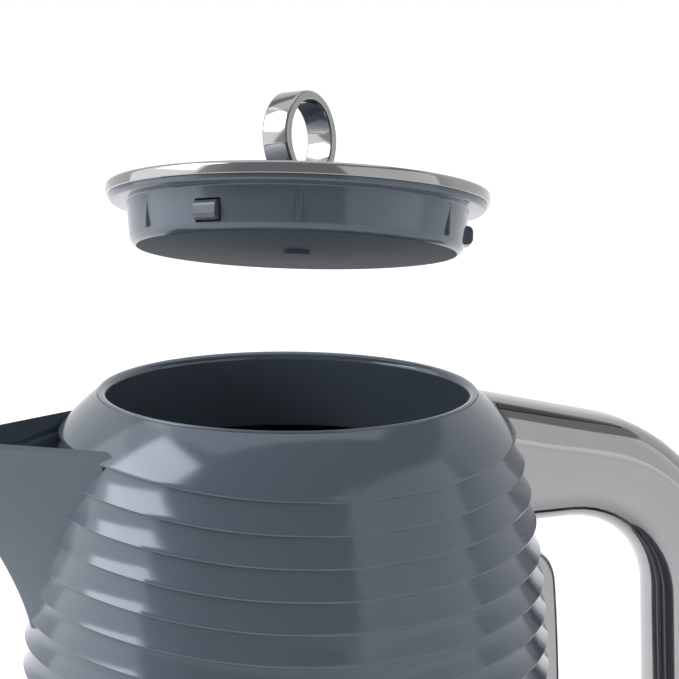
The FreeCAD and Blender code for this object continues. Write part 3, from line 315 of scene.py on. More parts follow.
def place_piece(name: str, bm: bmesh.types.BMesh, body: Body, slot: Slot, stands_for: Sequence[str] = (),
                pose: Matrix | None = None, finish: Finish | None = None,
                sharp: float = 38.0) -> bpy.types.Object:
    """Turns a mesh in millimetres into a piece of the kettle.

    Args:
        name: Name of the piece.
        bm: The mesh, which is freed.
        body: The body that it rides on.
        slot: Its material slot.
        stands_for: CAD nodes that it replaces.
        pose: Where the mesh goes, in millimetres.
        finish: Its finish, if not the slot's own.
        sharp: Angle in degrees from which an edge shows as an edge.

    Returns:
        The new object.
    """
    if pose is not None:
        bmesh.ops.transform(bm, matrix=pose, verts=bm.verts)
    bmesh.ops.scale(bm, vec=(MM, MM, MM), verts=bm.verts)
    for face in bm.faces:
        face.smooth = True
    for edge in bm.edges:
        if len(edge.link_faces) == 2 and edge.calc_face_angle(0.0) > math.radians(sharp):
            edge.smooth = False
    mesh = bpy.data.meshes.new(name)
    bm.to_mesh(mesh)
    bm.free()
    piece = bpy.data.objects.new(name, mesh)
    bpy.context.scene.collection.objects.link(piece)
    mesh.materials.append((finish or SLOT_FINISH[slot]).material())
    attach(piece, body.value)
    if stands_for:
        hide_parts(*stands_for)
    LOG.info("%s: %d faces", name, len(mesh.polygons))
    return piece


@dataclass
class Jug:
    """The ribbed jug with its neck ring, skirt and spout. Sizes are in millimetres."""

    rim: float = 216.0
    mouth: float = 50.4
    neck: float = 53.0
    collar_hole: float = 53.2
    collar_top: float = 215.4
    collar_bulge: float = 0.7
    collar_rows: int = 18
    rib_top: float = 201.9
    rib_pitch: float = 8.315
    rib_relief: float = 1.8
    rib_count: int = 20
    flare_rows: int = 9
    flare_power: float = 2.3
    lip_rows: int = 3
    lip_drop: float = 0.91
    rib_mean: float = 0.4
    rib_fade: float = 0.75
    body_radius: float = 77.0
    shoulder_drop: float = 12.1
    shoulder_decay: float = 37.5
    wave: float = 2.3
    wall: float = 2.6
    spout_top: float = 206.4
    spout_depth: float = 55.0
    spout_reach: float = 104.0
    spout_half: float = 28.3
    spout_power: float = 1.38
    spout_nose: float = 1.6
    spout_wall: float = 2.4
    spout_rows: int = 16
    spout_end: float = 0.985
    nose_round: float = 1.5
    wall_steps: int = 160
    windows_reach: float = 40.0

    def crest(self, height: float) -> float:
        """Gives the radius over the ribs' crests at a height."""
        return self.body_radius - self.shoulder_drop * math.exp((height - self.rib_top) / self.shoulder_decay)

    def crease(self, height: float) -> float:
        """Gives the radius at the bottom of the creases at a height."""
        return self.crest(height) - self.rib_relief

    def band_line(self) -> list[tuple[float, float]]:
        """Gives the drop and rise of each row of a band: a flare to the lip, and the lip's round turn."""
        flare = [row / self.flare_rows for row in range(self.flare_rows)]
        turn = [row / self.lip_rows for row in range(self.lip_rows)]
        line = [(self.lip_drop * share, share ** self.flare_power) for share in flare]
        rest = 1 - self.lip_drop
        return line + [(self.lip_drop + rest * share, math.sqrt(1 - share ** 2)) for share in turn]

    def lip_point(self) -> Vector:
        """Gives the outer edge of the collar's lip."""
        return self.rib_point(-1, self.lip_drop, 1.0)

    def rib_point(self, band: int, drop: float, rise: float) -> Vector:
        """Gives a point of a band's line.

        Args:
            band: Number of the band, from 0 under the collar.
            drop: Share of the band's height below its upper crease.
            rise: Share of the band's relief.

        Returns:
            The point in the XZ plane.
        """
        height = self.rib_top - (band + drop) * self.rib_pitch
        return Vector((self.crease(height) + rise * self.rib_relief, 0.0, height))

    def wall_line(self) -> list[Vector]:
        """Gives the outer wall's line from the collar's top edge down to the last crease."""
        top = Vector((self.collar_hole, 0.0, self.collar_top))
        chord = self.lip_point() - top
        outward = Vector((-chord.z, 0.0, chord.x)).normalized()
        points = []
        for row in range(self.collar_rows):
            share = row / self.collar_rows
            points.append(top + chord * share + outward * (4 * share * (1 - share) * self.collar_bulge))
        for band in range(-1, self.rib_count):
            first = self.flare_rows if band < 0 else 0
            points += [self.rib_point(band, drop, rise) for drop, rise in self.band_line()[first:]]
        points.append(self.rib_point(self.rib_count, 0.0, 0.0))
        return points

    def wall_place(self, vert: Vector) -> Vector:
        """Gives the place of a point of the wall once the bands dip and fade at the flanks.

        Args:
            vert: A point of the evenly turned wall.

        Returns:
            Its new place.
        """
        angle = math.atan2(vert.y, vert.x)
        radius = math.hypot(vert.x, vert.y)
        height = vert.z
        strength = abs(math.cos(angle)) ** self.rib_fade
        upper = min(1.0, (self.collar_top - height) / (self.collar_top - self.lip_point().z))
        lower = min(1.0, (height - self.rib_top + self.rib_count * self.rib_pitch) / (3 * self.rib_pitch))
        rise = (radius - self.crease(height)) / self.rib_relief if upper == 1.0 else 1.0
        radius += self.rib_relief * (self.rib_mean - rise) * (1 - strength) * upper ** 2
        shift = self.wave * math.cos(2 * angle) * upper ** 2 * lower
        radius += (self.crest(height + shift) - self.crest(height)) * upper ** 2
        return Vector((radius * math.cos(angle), radius * math.sin(angle), height + shift))

    def wall_sheet(self) -> bmesh.types.BMesh:
        """Makes the outer wall as a sheet, with its bands dipping and fading at the flanks.

        Returns:
            The sheet, in millimetres.
        """
        points = self.wall_line()
        rows = len(points) - 1
        bm = bmesh.new()
        start, end = bm.verts.new((0, 0, 0)), bm.verts.new((rows, 0, 0))
        bmesh.ops.subdivide_edges(bm, edges=[bm.edges.new((start, end))], cuts=rows - 1)
        for vert in bm.verts:
            vert.co = points[round(vert.co.x)]
        spin_round(bm, self.wall_steps)
        heights = [self.rib_top - i * self.rib_pitch for i in range(self.rib_count + 1)]
        for edge in bm.edges:
            first, second = edge.verts
            level = first.co.z
            if abs(level - second.co.z) < 1e-4 and min(abs(level - crease) for crease in heights) < 1e-3:
                edge.smooth = False
        for vert in bm.verts:
            vert.co = self.wall_place(vert.co)
        return bm

    def build(self) -> None:
        """Makes the jug's pieces."""
        shell = self.wall_sheet()
        pouring_window = (180.0, 10.0, 173.0, 195.0)
        steam_window = (0.0, 3.6, 186.4, 193.6)
        gauge_window = (0.0, 3.0, 101.0, 151.0)
        for window in (pouring_window, steam_window, gauge_window):
            cut_window(shell, *window, self.windows_reach)
        bmesh.ops.solidify(shell, geom=shell.faces[:], thickness=self.wall)
        place_piece("jug_wall", shell, Body.JUG, Slot.BODY, ["jug_shell"])
        ledge = turned([(66.8, 53.0, 0.5), (73.6, 53.0, 0), (73.6, 56.0, 0), (66.8, 56.0, 0.8)])
        place_piece("heater_ledge", ledge, Body.JUG, Slot.BODY)
        neck = turned([(self.mouth, 193.6, 0.6), (self.neck, 193.6, 0.3), (self.neck, self.rim, 0.4),
                       (self.mouth, self.rim, 2.0)])
        place_piece("mouth_ring", neck, Body.JUG, Slot.BODY, ["neck_ring"])
        skirt = turned([(74.2, 22.3, 1.2), (75.8, 25.5, 2.0), (75.8, 35.6, 0.5), (72.8, 35.6, 0),
                        (72.8, 39.6, 0), (70.0, 39.6, 0), (70.0, 35.6, 0), (71.4, 22.3, 0.5)])
        place_piece("foot_skirt", skirt, Body.JUG, Slot.BODY, ["jug_skirt"])
        place_piece("pouring_beak", self.beak(), Body.JUG, Slot.BODY, ["spout"], sharp=30.0)

    def wall_radius(self, height: float) -> float:
        """Gives the wall's outer radius at a height, through the creases and over the collar."""
        if height <= self.rib_top:
            return self.crease(height)
        rows = self.wall_line()[:self.collar_rows + 2]
        for upper, lower in zip(rows, rows[1:]):
            if lower.z <= height <= upper.z:
                share = (upper.z - height) / (upper.z - lower.z)
                return upper.x + (lower.x - upper.x) * share
        return self.collar_hole

    def beak_section(self, share: float) -> list[Vector]:
        """Gives the beak's level section at a share of its depth.

        Args:
            share: From 0 at the top edge to 1 where the beak ends on the wall.

        Returns:
            Three points: the near root in the wall, the nose and the far root.
        """
        height = self.spout_top - share * self.spout_depth
        foot = self.crest(self.spout_top - self.spout_depth)
        nose = foot + (self.spout_reach - foot) * (1 - share) ** self.spout_power
        half = self.spout_half + (self.spout_nose - self.spout_half) * share
        root = math.sqrt(self.crease(min(height, self.rib_top)) ** 2 - half ** 2)
        tip = Vector((-nose, 0.0, height))
        run = Vector((-root, -half, height)) - tip
        inner = self.wall_radius(height) - 1.0
        near, far = 0.0, 2.0
        for _ in range(30):
            middle = (near + far) / 2
            place = tip + run * middle
            if math.hypot(place.x, place.y) > inner:
                near = middle
            else:
                far = middle
        seat = tip + run * near
        return [seat, tip, Vector((seat.x, -seat.y, seat.z))]

    def beak(self) -> bmesh.types.BMesh:
        """Makes the beak as a walled sheet with a rounded nose.

        Returns:
            The beak, in millimetres.
        """
        bm = bmesh.new()
        row = [bm.verts.new(point) for point in self.beak_section(0.0)]
        edges = [bm.edges.new(pair) for pair in zip(row, row[1:])]
        tips = [row[1]]
        for step in range(1, self.spout_rows + 1):
            made = bmesh.ops.extrude_edge_only(bm, edges=edges)["geom"]
            fresh = {item for item in made if isinstance(item, bmesh.types.BMVert)}
            below = []
            for vert in row:
                below.append(next(edge.other_vert(vert) for edge in vert.link_edges
                                  if edge.other_vert(vert) in fresh))
            for vert, point in zip(below, self.beak_section(step / self.spout_rows * self.spout_end)):
                vert.co = point
            row = below
            edges = [bm.edges.get(pair) for pair in zip(row, row[1:])]
            tips.append(row[1])
        ridge = [bm.edges.get(pair) for pair in zip(tips, tips[1:])]
        bmesh.ops.bevel(bm, geom=ridge, offset=self.nose_round, offset_type="OFFSET", affect="EDGES",
                        segments=5, profile=0.5, material=-1, clamp_overlap=True)
        bmesh.ops.recalc_face_normals(bm, faces=bm.faces)
        outward = sum((face.normal.x * face.calc_area() for face in bm.faces))
        if outward > 0:
            bmesh.ops.reverse_faces(bm, faces=bm.faces)
        bmesh.ops.solidify(bm, geom=bm.faces[:], thickness=self.spout_wall)
        return bm


@dataclass
class Handle:
    """The loop handle, with a dark strip of painted groove shade along each side of its arm. Sizes are in
    millimetres.
    """

    half_width: float = 13.6
    arm_depth: float = 31.0
    most_depth: float = 34.0
    outer_share: float = 0.41
    outer_power: float = 3.0
    grip_share: float = 0.50
    grip_power: float = 2.2
    slices: int = 12
    longest_edge: float = 12.0
    straight_cuts: int = 9
    top_slope: float = 0.224
    top_height: float = 205.4
    top_at: float = 87.0
    arm_root: float = 56.0
    back: float = 135.9
    foot: float = 27.0
    foot_back: float = 127.0
    gap_end: float = 109.0
    gap_low_end: float = 114.0
    gap_top: float = 175.3
    gap_bottom: float = 72.0
    wall_side: float = 75.0
    groove_start: float = 59.0
    groove_end: float = 97.0
    groove_side: float = 9.5
    groove_half: float = 0.85
    groove_taper: float = 0.85
    groove_stand: float = 0.06
    groove_depth: float = 0.4

    def top_line(self, reach: float) -> float:
        """Gives the height of the arm's straight top at a distance from the axis."""
        return self.top_height + self.top_slope * (self.top_at - reach)

    def outline(self) -> bmesh.types.BMesh:
        """Draws the handle's side outline."""
        return draw_outline([
            (self.arm_root, self.top_line(self.arm_root), 0), (self.back, self.top_line(self.back), 50.0),
            (self.foot_back, self.foot, 32.0), (73.6, self.foot, 0), (74.2, self.gap_bottom, 0),
            (self.gap_low_end, self.gap_bottom, 17.0), (self.gap_end, self.gap_top, 26.0), (68.6, 173.3, 0)],
            segments=14)

    def is_root(self, start: Vector, end: Vector) -> bool:
        """Tells whether an edge of the outline stands upright in the jug's wall."""
        return max(start.x, end.x) < self.wall_side and abs(end.z - start.z) > abs(end.x - start.x)

    def inset(self, side: float, depth: float, is_grip: bool) -> float:
        """Gives how far the rounded section falls in at a distance from the middle plane.

        Args:
            side: Distance from the middle plane.
            depth: Distance from the back of the handle to its grip face.
            is_grip: Whether the point lies on the grip face.

        Returns:
            The distance that the surface falls in.
        """
        share, power = (self.grip_share, self.grip_power) if is_grip else (self.outer_share, self.outer_power)
        return share * depth * (1 - max(0.0, 1 - (side / self.half_width) ** power) ** (1 / power))

    def depth_at(self, place: Vector, opposite: Sequence[tuple[Vector, Vector]]) -> float:
        """Gives the handle's depth at a point of its outline.

        Args:
            place: The point.
            opposite: Start and end of each edge on the other side.

        Returns:
            The distance to the nearest of those edges, up to the most that is rounded.
        """
        depth = self.most_depth
        for start, end in opposite:
            nearest, share = intersect_point_line(place, start, end)
            nearest = start if share < 0 else end if share > 1 else nearest
            depth = min(depth, (place - nearest).length)
        return depth

    def half_shell(self, side: int) -> bmesh.types.BMesh:
        """Makes one half of the handle, from the middle plane out to its flank.

        Args:
            side: 1 for the far half and -1 for the near half.

        Returns:
            The half, open at the middle plane.
        """
        bm = self.outline()
        straight = [edge for edge in bm.edges if edge.calc_length() > self.longest_edge
                    and not self.is_root(*(vert.co for vert in edge.verts))]
        bmesh.ops.subdivide_edges(bm, edges=straight, cuts=self.straight_cuts)
        start = bm.verts[:][0]
        ring = [start]
        edge = start.link_edges[0]
        while edge.other_vert(ring[-1]) is not start:
            ring.append(edge.other_vert(ring[-1]))
            edge = next(item for item in ring[-1].link_edges if item is not edge)
        inward = []
        count = len(ring)
        area = sum(ring[i - 1].co.x * ring[i].co.z - ring[i].co.x * ring[i - 1].co.z for i in range(count))
        for i in range(count):
            run, root = Vector(), None
            for start_co, end_co in ((ring[i - 1].co, ring[i].co), (ring[i].co, ring[(i + 1) % count].co)):
                if self.is_root(start_co, end_co):
                    root = end_co - start_co
                else:
                    run += (end_co - start_co).normalized()
            run.normalize()
            normal = Vector((-run.z, 0.0, run.x)) * (1 if area > 0 else -1)
            inward.append(root / root.dot(normal) if root else normal)
        places = [vert.co.copy() for vert in ring]
        grip = [self.gap_bottom - 0.1 < place.z < self.gap_top + 0.1 and place.x < self.gap_low_end + 0.1
                for place in places]
        sides = {kind: [(places[i - 1], places[i]) for i in range(count) if grip[i - 1] == grip[i] == kind]
                 for kind in (True, False)}
        depths = [self.depth_at(place, sides[not kind]) for place, kind in zip(places, grip)]
        edges = [bm.edges.get((ring[i - 1], ring[i])) for i in range(count)]
        for step in range(1, self.slices + 1):
            aside = self.half_width * math.sin(math.pi / 2 * step / self.slices)
            made = bmesh.ops.extrude_edge_only(bm, edges=edges)["geom"]
            fresh = {item for item in made if isinstance(item, bmesh.types.BMVert)}
            ring = [next(edge.other_vert(vert) for edge in vert.link_edges if edge.other_vert(vert) in fresh)
                    for vert in ring]
            for vert, place, normal, depth, kind in zip(ring, places, inward, depths, grip):
                vert.co = place + normal * self.inset(aside, depth, kind) + Vector((0.0, side * aside, 0.0))
            edges = [bm.edges.get((ring[i - 1], ring[i])) for i in range(count)]
        bmesh.ops.triangle_fill(bm, edges=edges, use_beauty=True, normal=(0.0, 1.0, 0.0))
        return bm

    def groove(self, side: int) -> bmesh.types.BMesh:
        """Makes the tapered dark strip along one upper edge of the arm: painted shade for the groove there.

        Args:
            side: 1 for the far edge and -1 for the near edge.

        Returns:
            A thin strip that lies in the surface.
        """
        bm = bmesh.new()
        bmesh.ops.create_grid(bm, x_segments=24, y_segments=2, size=1.0)
        for vert in bm.verts:
            share = (vert.co.x + 1) / 2
            reach = self.groove_start + (self.groove_end - self.groove_start) * share
            aside = self.groove_side + vert.co.y * self.groove_half * (1 - self.groove_taper * share)
            height = self.top_line(reach) - self.inset(aside, self.arm_depth, False) + self.groove_stand
            vert.co = Vector((reach, side * aside, height))
        bmesh.ops.recalc_face_normals(bm, faces=bm.faces)
        if sum(face.normal.z for face in bm.faces) < 0:
            bmesh.ops.reverse_faces(bm, faces=bm.faces)
        bmesh.ops.solidify(bm, geom=bm.faces[:], thickness=self.groove_depth)
        return bm

    def build(self) -> None:
        """Makes the handle and the strips of painted groove shade on its arm."""
        bm = self.half_shell(-1)
        far = self.half_shell(1)
        mesh = bpy.data.meshes.new("far_half")
        far.to_mesh(mesh)
        far.free()
        bm.from_mesh(mesh)
        bpy.data.meshes.remove(mesh)
        bmesh.ops.remove_doubles(bm, verts=bm.verts, dist=1e-3)
        bmesh.ops.recalc_face_normals(bm, faces=bm.faces)
        piece = place_piece("loop_handle", bm, Body.JUG, Slot.CHROME, ["handle_cover", "handle_liner"],
                            sharp=32.0)
        even = piece.modifiers.new("even_shading", "WEIGHTED_NORMAL")
        even.keep_sharp = True
        # Dark strips of painted shade, laid in the arm's surface where its grooves fall into shadow.
        for name, side in (("near_arm_groove_shade", -1), ("far_arm_groove_shade", 1)):
            place_piece(name, self.groove(side), Body.JUG, Slot.CHROME, finish=PAINTED_GROOVE_SHADE)


@dataclass
class Gauge:
    """The chrome frame of the water gauge on the handle side. Sizes are in millimetres."""

    jug: Jug
    half_width: float = 12.0
    side_round: float = 3.0
    slot_half: float = 6.0
    low: float = 86.0
    high: float = 166.0
    border: float = 12.0
    stand: float = 5.2
    end_round: float = 9.0
    wall: float = 2.4

    def rise(self, side: float, height: float) -> float:
        """Gives how far the front stands off the jug's wall.

        Args:
            side: Distance from the middle plane.
            height: Height above the table.

        Returns:
            The distance, which rounds off to nothing at the frame's edges.
        """
        along = min(1.0, min(height - self.low, self.high - height) / self.end_round)
        across = min(1.0, (self.half_width - abs(side)) / self.side_round)
        ends = math.sqrt(max(0.0, 1 - (1 - along) ** 2))
        sides = math.sqrt(max(0.0, 1 - (1 - across) ** 2))
        return self.stand * ends * sides

    def build(self) -> None:
        """Makes the frame as a rounded sheet with a slot."""
        bm = bmesh.new()
        bmesh.ops.create_grid(bm, x_segments=32, y_segments=96, size=1.0)
        for vert in bm.verts:
            side = self.half_width * math.sin(vert.co.x * math.pi / 2)
            height = self.low + (self.high - self.low) * (1 + math.sin(vert.co.y * math.pi / 2)) / 2
            radius = self.jug.crest(height) + self.rise(side, height)
            vert.co = Vector((math.sqrt(radius ** 2 - side ** 2), side, height))
        bmesh.ops.recalc_face_normals(bm, faces=bm.faces)
        if sum(face.normal.x for face in bm.faces) < 0:
            bmesh.ops.reverse_faces(bm, faces=bm.faces)
        cut_window(bm, 0.0, self.slot_half, self.low + self.border, self.high - self.border,
                   self.jug.windows_reach)
        bmesh.ops.solidify(bm, geom=bm.faces[:], thickness=self.wall)
        place_piece("gauge_surround", bm, Body.JUG, Slot.CHROME, ["gauge_frame"])


@dataclass
class SwitchLever:
    """The paddle that switches the kettle on, under the foot of the handle. Sizes are in millimetres."""

    pivot: tuple[float, float, float] = (96.0, 0.0, 43.0)
    slope: float = 38.0
    length: float = 33.0
    width: float = 13.0
    thickness: float = 6.0
    edge: float = 2.2
    hub: float = 4.0
    finger_low: float = 31.4

    def build(self) -> None:
        """Makes the paddle with its hub and finger."""
        bm = bmesh.new()
        paddle = bmesh.ops.create_cube(bm, size=1.0)["verts"]
        bmesh.ops.scale(bm, vec=(self.length, self.width, self.thickness), verts=paddle)
        bmesh.ops.translate(bm, vec=(self.length / 2, 0.0, 0.0), verts=paddle)
        bmesh.ops.bevel(bm, geom=bm.edges[:], offset=self.edge, offset_type="OFFSET", affect="EDGES",
                        segments=4, profile=0.5, material=-1)
        lean = Matrix.Rotation(math.radians(self.slope), 3, "Y")
        bmesh.ops.rotate(bm, cent=(0, 0, 0), matrix=lean, verts=bm.verts)
        hub = bmesh.ops.create_cone(bm, cap_ends=True, segments=48, radius1=self.hub, radius2=self.hub,
                                    depth=self.width)["verts"]
        bmesh.ops.rotate(bm, cent=(0, 0, 0), matrix=Matrix.Rotation(math.pi / 2, 3, "X"), verts=hub)
        bmesh.ops.translate(bm, vec=self.pivot, verts=bm.verts)
        finger = bmesh.ops.create_cube(bm, size=1.0)["verts"]
        bmesh.ops.scale(bm, vec=(4.0, 5.0, self.pivot[2] - self.finger_low), verts=finger)
        bmesh.ops.translate(bm, vec=(self.pivot[0], 0.0, (self.pivot[2] + self.finger_low) / 2), verts=finger)
        place_piece("switch_paddle", bm, Body.SWITCH, Slot.DARK, ["switch_lever"])


@dataclass
class Lid:
    """The lid, made where it seats and then lifted and tipped. Sizes are in millimetres."""

    pivot: float = 214.0
    drift: float = 2.6
    lift: float = 50.4
    tilt: float = 15.8
    turn: float = -20.0
    seat: float = 216.3
    floor: float = 204.3
    plug: float = 47.3
    plug_low: float = 45.8
    flange: float = 52.2
    flange_top: float = 218.9
    band: float = 53.2
    band_low: float = 218.0
    band_top: float = 221.4
    wall: float = 1.8
    catch_yaw: float = -135.5
    catch_height: float = 209.7
    window_half: float = 3.9
    window_rise: float = 3.1
    window_reach: float = 30.0
    rib_yaw: float = -105.0
    rib_size: Corner = (2.2, 1.6, 9.4)
    rib_place: Corner = (46.0, 0.0, 211.6)
    ring_yaw: float = -48.0
    ring_height: float = 235.9
    ring_hole: float = 10.3
    ring_outer: float = 13.0
    ring_half: float = 4.25

    def pose(self) -> Matrix:
        """Gives the move from the lid's seat to where it is held."""
        angle = math.radians(self.turn)
        axis = Vector((-math.cos(angle), -math.sin(angle), 0.0))
        centre = Matrix.Translation((0.0, 0.0, self.pivot))
        rise = Matrix.Translation((self.drift, 0.0, self.lift))
        return rise @ centre @ Matrix.Rotation(math.radians(self.tilt), 4, axis) @ centre.inverted()

    def build(self) -> None:
        """Makes the lid's pieces."""
        pose = self.pose()
        plug = turned([(0.0, self.floor, 0), (self.plug_low, self.floor, 2.6), (self.plug, self.seat, 0.5),
                       (self.flange, self.seat, 1.1), (self.flange, self.flange_top, 0)], closed=False)
        for i in range(3):
            low, high = self.catch_height - self.window_rise, self.catch_height + self.window_rise
            cut_window(plug, self.catch_yaw + 120.0 * i, self.window_half, low, high, self.window_reach)
        bmesh.ops.solidify(plug, geom=plug.faces[:], thickness=self.wall)
        # Faces that look down get the darker satin finish: real satin moulding, with painted shade on the
        # lid's underside.
        for face in plug.faces:
            if face.normal.z < -0.95 and face.calc_center_median().z < self.floor + 0.2:
                face.material_index = 1
        cup = place_piece("lid_cup", plug, Body.LID, Slot.BODY, ["lid_plug"], pose)
        cup.data.materials.append(SHADED_SATIN_UNDERSIDE.material())
        ribs = bmesh.new()
        for i in range(6):
            yaw = math.radians(self.rib_yaw + 60.0 * i)
            made = bmesh.ops.create_cube(ribs, size=1.0)["verts"]
            bmesh.ops.scale(ribs, vec=self.rib_size, verts=made)
            bmesh.ops.translate(ribs, vec=self.rib_place, verts=made)
            bmesh.ops.rotate(ribs, cent=(0, 0, 0), matrix=Matrix.Rotation(yaw, 3, "Z"), verts=made)
        bmesh.ops.bevel(ribs, geom=ribs.edges[:], offset=0.35, offset_type="OFFSET", affect="EDGES",
                        segments=2, profile=0.5, material=-1)
        place_piece("lid_centring_ribs", ribs, Body.LID, Slot.BODY, pose=pose)
        boss_low = self.floor - 0.9
        boss = turned([(0.0, boss_low, 0), (3.6, boss_low, 0.5), (3.9, self.floor + 0.4, 0)], closed=False,
                      steps=64)
        place_piece("lid_boss", boss, Body.LID, Slot.CATCH, ["lid_screw"], pose, SHADED_SATIN_UNDERSIDE)
        inner = self.band - 3.6
        lip = self.flange + 0.05
        band = turned([(lip, self.band_low, 0), (self.band, self.band_low, 0.35),
                       (self.band, self.band_top, 1.1), (inner, self.band_top, 0.5),
                       (inner, self.flange_top, 0), (lip, self.flange_top, 0)])
        place_piece("lid_band", band, Body.LID, Slot.CHROME, ["lid_trim_band"], pose)
        yaw = math.radians(self.ring_yaw)
        axis = Vector((math.cos(yaw), math.sin(yaw), 0.0))
        face_on = UP.rotation_difference(axis).to_matrix().to_4x4()
        upright = Matrix.Translation((0, 0, self.ring_height)) @ face_on
        hole, outer, half = self.ring_hole, self.ring_outer, self.ring_half
        ring = turned([(hole, -half, 0.7), (outer, -half, 0.9), (outer, half, 0.9), (hole, half, 0.7)],
                      steps=96)
        place_piece("ring_pull", ring, Body.LID, Slot.CHROME, ["lid_ring"], pose @ upright)
        stem = turned([(0, 206.3, 0), (4.5, 206.3, 0.5), (4.5, 222.6, 0.4), (5.4, 223.0, 0.3),
                       (4.4, 224.0, 0), (0, 224.0, 0)], closed=False, steps=64)
        place_piece("ring_stem", stem, Body.LID, Slot.CHROME, pose=pose)


@dataclass
class PowerBase:
    """The round power base. Sizes are in millimetres."""

    radius: float = 78.0
    height: float = 22.0

    def build(self) -> None:
        """Makes the base's top cover."""
        cover = turned([(self.radius, 3.0, 0.8), (self.radius, 16.0, 5.0), (72.0, self.height, 5.0),
                        (21.6, self.height, 0.8), (21.6, 19.6, 0), (69.6, 19.6, 0), (75.6, 16.0, 0),
                        (75.6, 3.0, 0.4)])
        place_piece("base_cover", cover, Body.BASE, Slot.BODY, ["base_top_cover"])


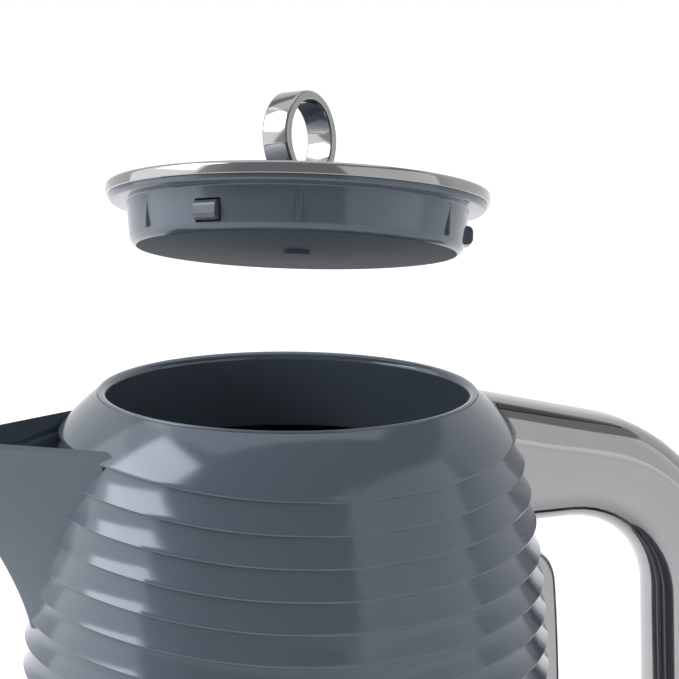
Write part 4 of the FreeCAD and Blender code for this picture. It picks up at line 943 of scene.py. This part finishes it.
@dataclass
class Studio:
    """The floor, backdrop, lamps and camera. Sizes are in metres, and the picture is square."""

    pixels: float = 679.0
    focal: float = 2400.0
    distance: float = 0.672
    azimuth: float = -15.0
    elevation: float = 12.3
    roll: float = 0.5
    target: tuple[float, float, float] = (0.0, 0.0, 0.215)
    target_pixel: tuple[float, float] = (288.0, 392.0)
    floor_glow: float = 0.42
    wall_reach: float = 3.0
    wall_height: float = 2.6
    front_glow: float = 0.41
    fade_front: float = -1.8
    fade_back: float = 0.2

    def camera(self) -> None:
        """Sets up the camera at the viewing angle."""
        a, e = math.radians(self.azimuth), math.radians(self.elevation)
        back = Vector((math.sin(a) * math.cos(e), -math.cos(a) * math.cos(e), math.sin(e)))
        target = Vector(self.target)
        place = target + back * self.distance
        right = UP.cross(back).normalized()
        upward = back.cross(right)
        half = self.pixels / 2
        aside = (half - self.target_pixel[0]) / self.focal * self.distance
        above = (self.target_pixel[1] - half) / self.focal * self.distance
        aim = target + right * aside + upward * above
        look = (aim - place).to_track_quat("-Z", "Y").to_matrix().to_4x4()
        data = bpy.data.cameras.new("camera")
        data.sensor_width = 36.0
        data.lens = self.focal * 36.0 / self.pixels
        camera = bpy.data.objects.new("camera", data)
        camera.matrix_world = (Matrix.Translation(place) @ look
                               @ Matrix.Rotation(math.radians(self.roll), 4, "Z"))
        bpy.context.scene.collection.objects.link(camera)
        bpy.context.scene.camera = camera

    def lamp(self, name: str, place: Sequence[float], aim: Sequence[float], size: tuple[float, float],
             watts: float) -> None:
        """Adds a soft rectangular lamp.

        Args:
            name: Name of the lamp.
            place: Where it stands.
            aim: The point that it faces.
            size: Its width and height.
            watts: Its power.
        """
        data = bpy.data.lights.new(name, "AREA")
        data.shape = "RECTANGLE"
        data.size, data.size_y = size
        data.energy = watts
        lamp = bpy.data.objects.new(name, data)
        lamp.location = place
        lamp.rotation_euler = (Vector(aim) - Vector(place)).to_track_quat("-Z", "Y").to_euler()
        bpy.context.scene.collection.objects.link(lamp)

    def world(self) -> None:
        """Fills the room with soft even light."""
        world = bpy.data.worlds.new("room")
        bpy.context.scene.world = world
        world.use_nodes = True
        soft = world.node_tree.nodes["Background"]
        soft.inputs["Color"].default_value = (0.41, 0.42, 0.435, 1.0)

    def backdrop(self) -> None:
        """Stands a round wall about the kettle, white behind it and grey in front."""
        bm = bmesh.new()
        low = bm.verts.new((self.wall_reach, 0.0, 0.0))
        high = bm.verts.new((self.wall_reach, 0.0, self.wall_height))
        bm.edges.new((low, high))
        spin_round(bm, 96)
        mesh = bpy.data.meshes.new("backdrop")
        bm.to_mesh(mesh)
        bm.free()
        wall = bpy.data.objects.new("backdrop", mesh)
        bpy.context.scene.collection.objects.link(wall)
        material = bpy.data.materials.new("white_wall")
        material.use_nodes = True
        nodes = material.node_tree.nodes
        links = material.node_tree.links
        shader = nodes["Principled BSDF"]
        shader.inputs["Base Color"].default_value = (0.0, 0.0, 0.0, 1.0)
        shader.inputs["Specular IOR Level"].default_value = 0.0
        shader.inputs["Emission Color"].default_value = (1.0, 1.0, 1.0, 1.0)
        place = nodes.new("ShaderNodeTexCoord")
        apart = nodes.new("ShaderNodeSeparateXYZ")
        links.new(place.outputs["Object"], apart.inputs["Vector"])
        fade = nodes.new("ShaderNodeMapRange")
        fade.inputs["From Min"].default_value = self.fade_front
        fade.inputs["From Max"].default_value = self.fade_back
        fade.inputs["To Min"].default_value = self.front_glow
        links.new(apart.outputs["Y"], fade.inputs["Value"])
        links.new(fade.outputs["Result"], shader.inputs["Emission Strength"])
        mesh.materials.append(material)

    def floor(self) -> None:
        """Lays a pale floor that keeps the shadow."""
        bm = bmesh.new()
        bmesh.ops.create_grid(bm, x_segments=2, y_segments=2, size=4.0)
        mesh = bpy.data.meshes.new("floor")
        bm.to_mesh(mesh)
        bm.free()
        floor = bpy.data.objects.new("floor", mesh)
        bpy.context.scene.collection.objects.link(floor)
        material = bpy.data.materials.new("pale_floor")
        material.use_nodes = True
        nodes = material.node_tree.nodes
        links = material.node_tree.links
        shader = nodes["Principled BSDF"]
        shader.inputs["Base Color"].default_value = (0.85, 0.85, 0.86, 1.0)
        shader.inputs["Roughness"].default_value = 0.9
        path = nodes.new("ShaderNodeLightPath")
        seen = path.outputs["Is Camera Ray"]
        for ray in ("Is Glossy Ray", "Is Transmission Ray"):
            either = nodes.new("ShaderNodeMath")
            either.operation = "MAXIMUM"
            links.new(seen, either.inputs[0])
            links.new(path.outputs[ray], either.inputs[1])
            seen = either.outputs[0]
        glow = nodes.new("ShaderNodeMath")
        glow.operation = "MULTIPLY"
        glow.inputs[1].default_value = self.floor_glow
        links.new(seen, glow.inputs[0])
        shine = nodes.new("ShaderNodeEmission")
        links.new(glow.outputs[0], shine.inputs["Strength"])
        add = nodes.new("ShaderNodeAddShader")
        links.new(shader.outputs["BSDF"], add.inputs[0])
        links.new(shine.outputs["Emission"], add.inputs[1])
        links.new(add.outputs["Shader"], nodes["Material Output"].inputs["Surface"])
        mesh.materials.append(material)

    def build(self) -> None:
        """Sets up the whole studio."""
        bpy.context.scene.view_settings.view_transform = "Standard"
        self.world()
        self.backdrop()
        self.floor()
        self.lamp("left_wide_softbox", (-1.1, 0.3, 0.7), (0.0, 0.0, 0.2), (1.3, 1.5), 7.0)
        self.lamp("left_softbox", (-1.0, 0.1, 0.95), (0.0, 0.0, 0.2), (0.72, 0.8), 8.6)
        self.lamp("right_panel", (0.85, -0.86, 0.55), (0.0, 0.0, 0.2), (1.45, 1.1), 3.8)
        self.lamp("top_panel", (0.0, 0.3, 1.5), (0.0, 0.0, 0.2), (1.6, 1.2), 6.0)
        self.camera()


def dress_nodes(frame: dict) -> None:
    """Gives each CAD node the finish of its slot.
    """
    slots = {part["node"]: Slot(part["material_slot"]) for part in frame["record"]["subparts"]}
    for name, node in frame["nodes"].items():
        node.data.materials.clear()
        node.data.materials.append(SLOT_FINISH[slots[name]].material())


def main() -> None:
    """Builds the kettle and its studio."""
    logging.basicConfig(level=logging.INFO, format="%(name)s %(message)s")
    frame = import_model()
    dress_nodes(frame)
    jug = Jug()
    for assembly in (PowerBase(), jug, Handle(), Gauge(jug), SwitchLever(), Lid(), Studio()):
        assembly.build()


if __name__ == "__main__":
    main()
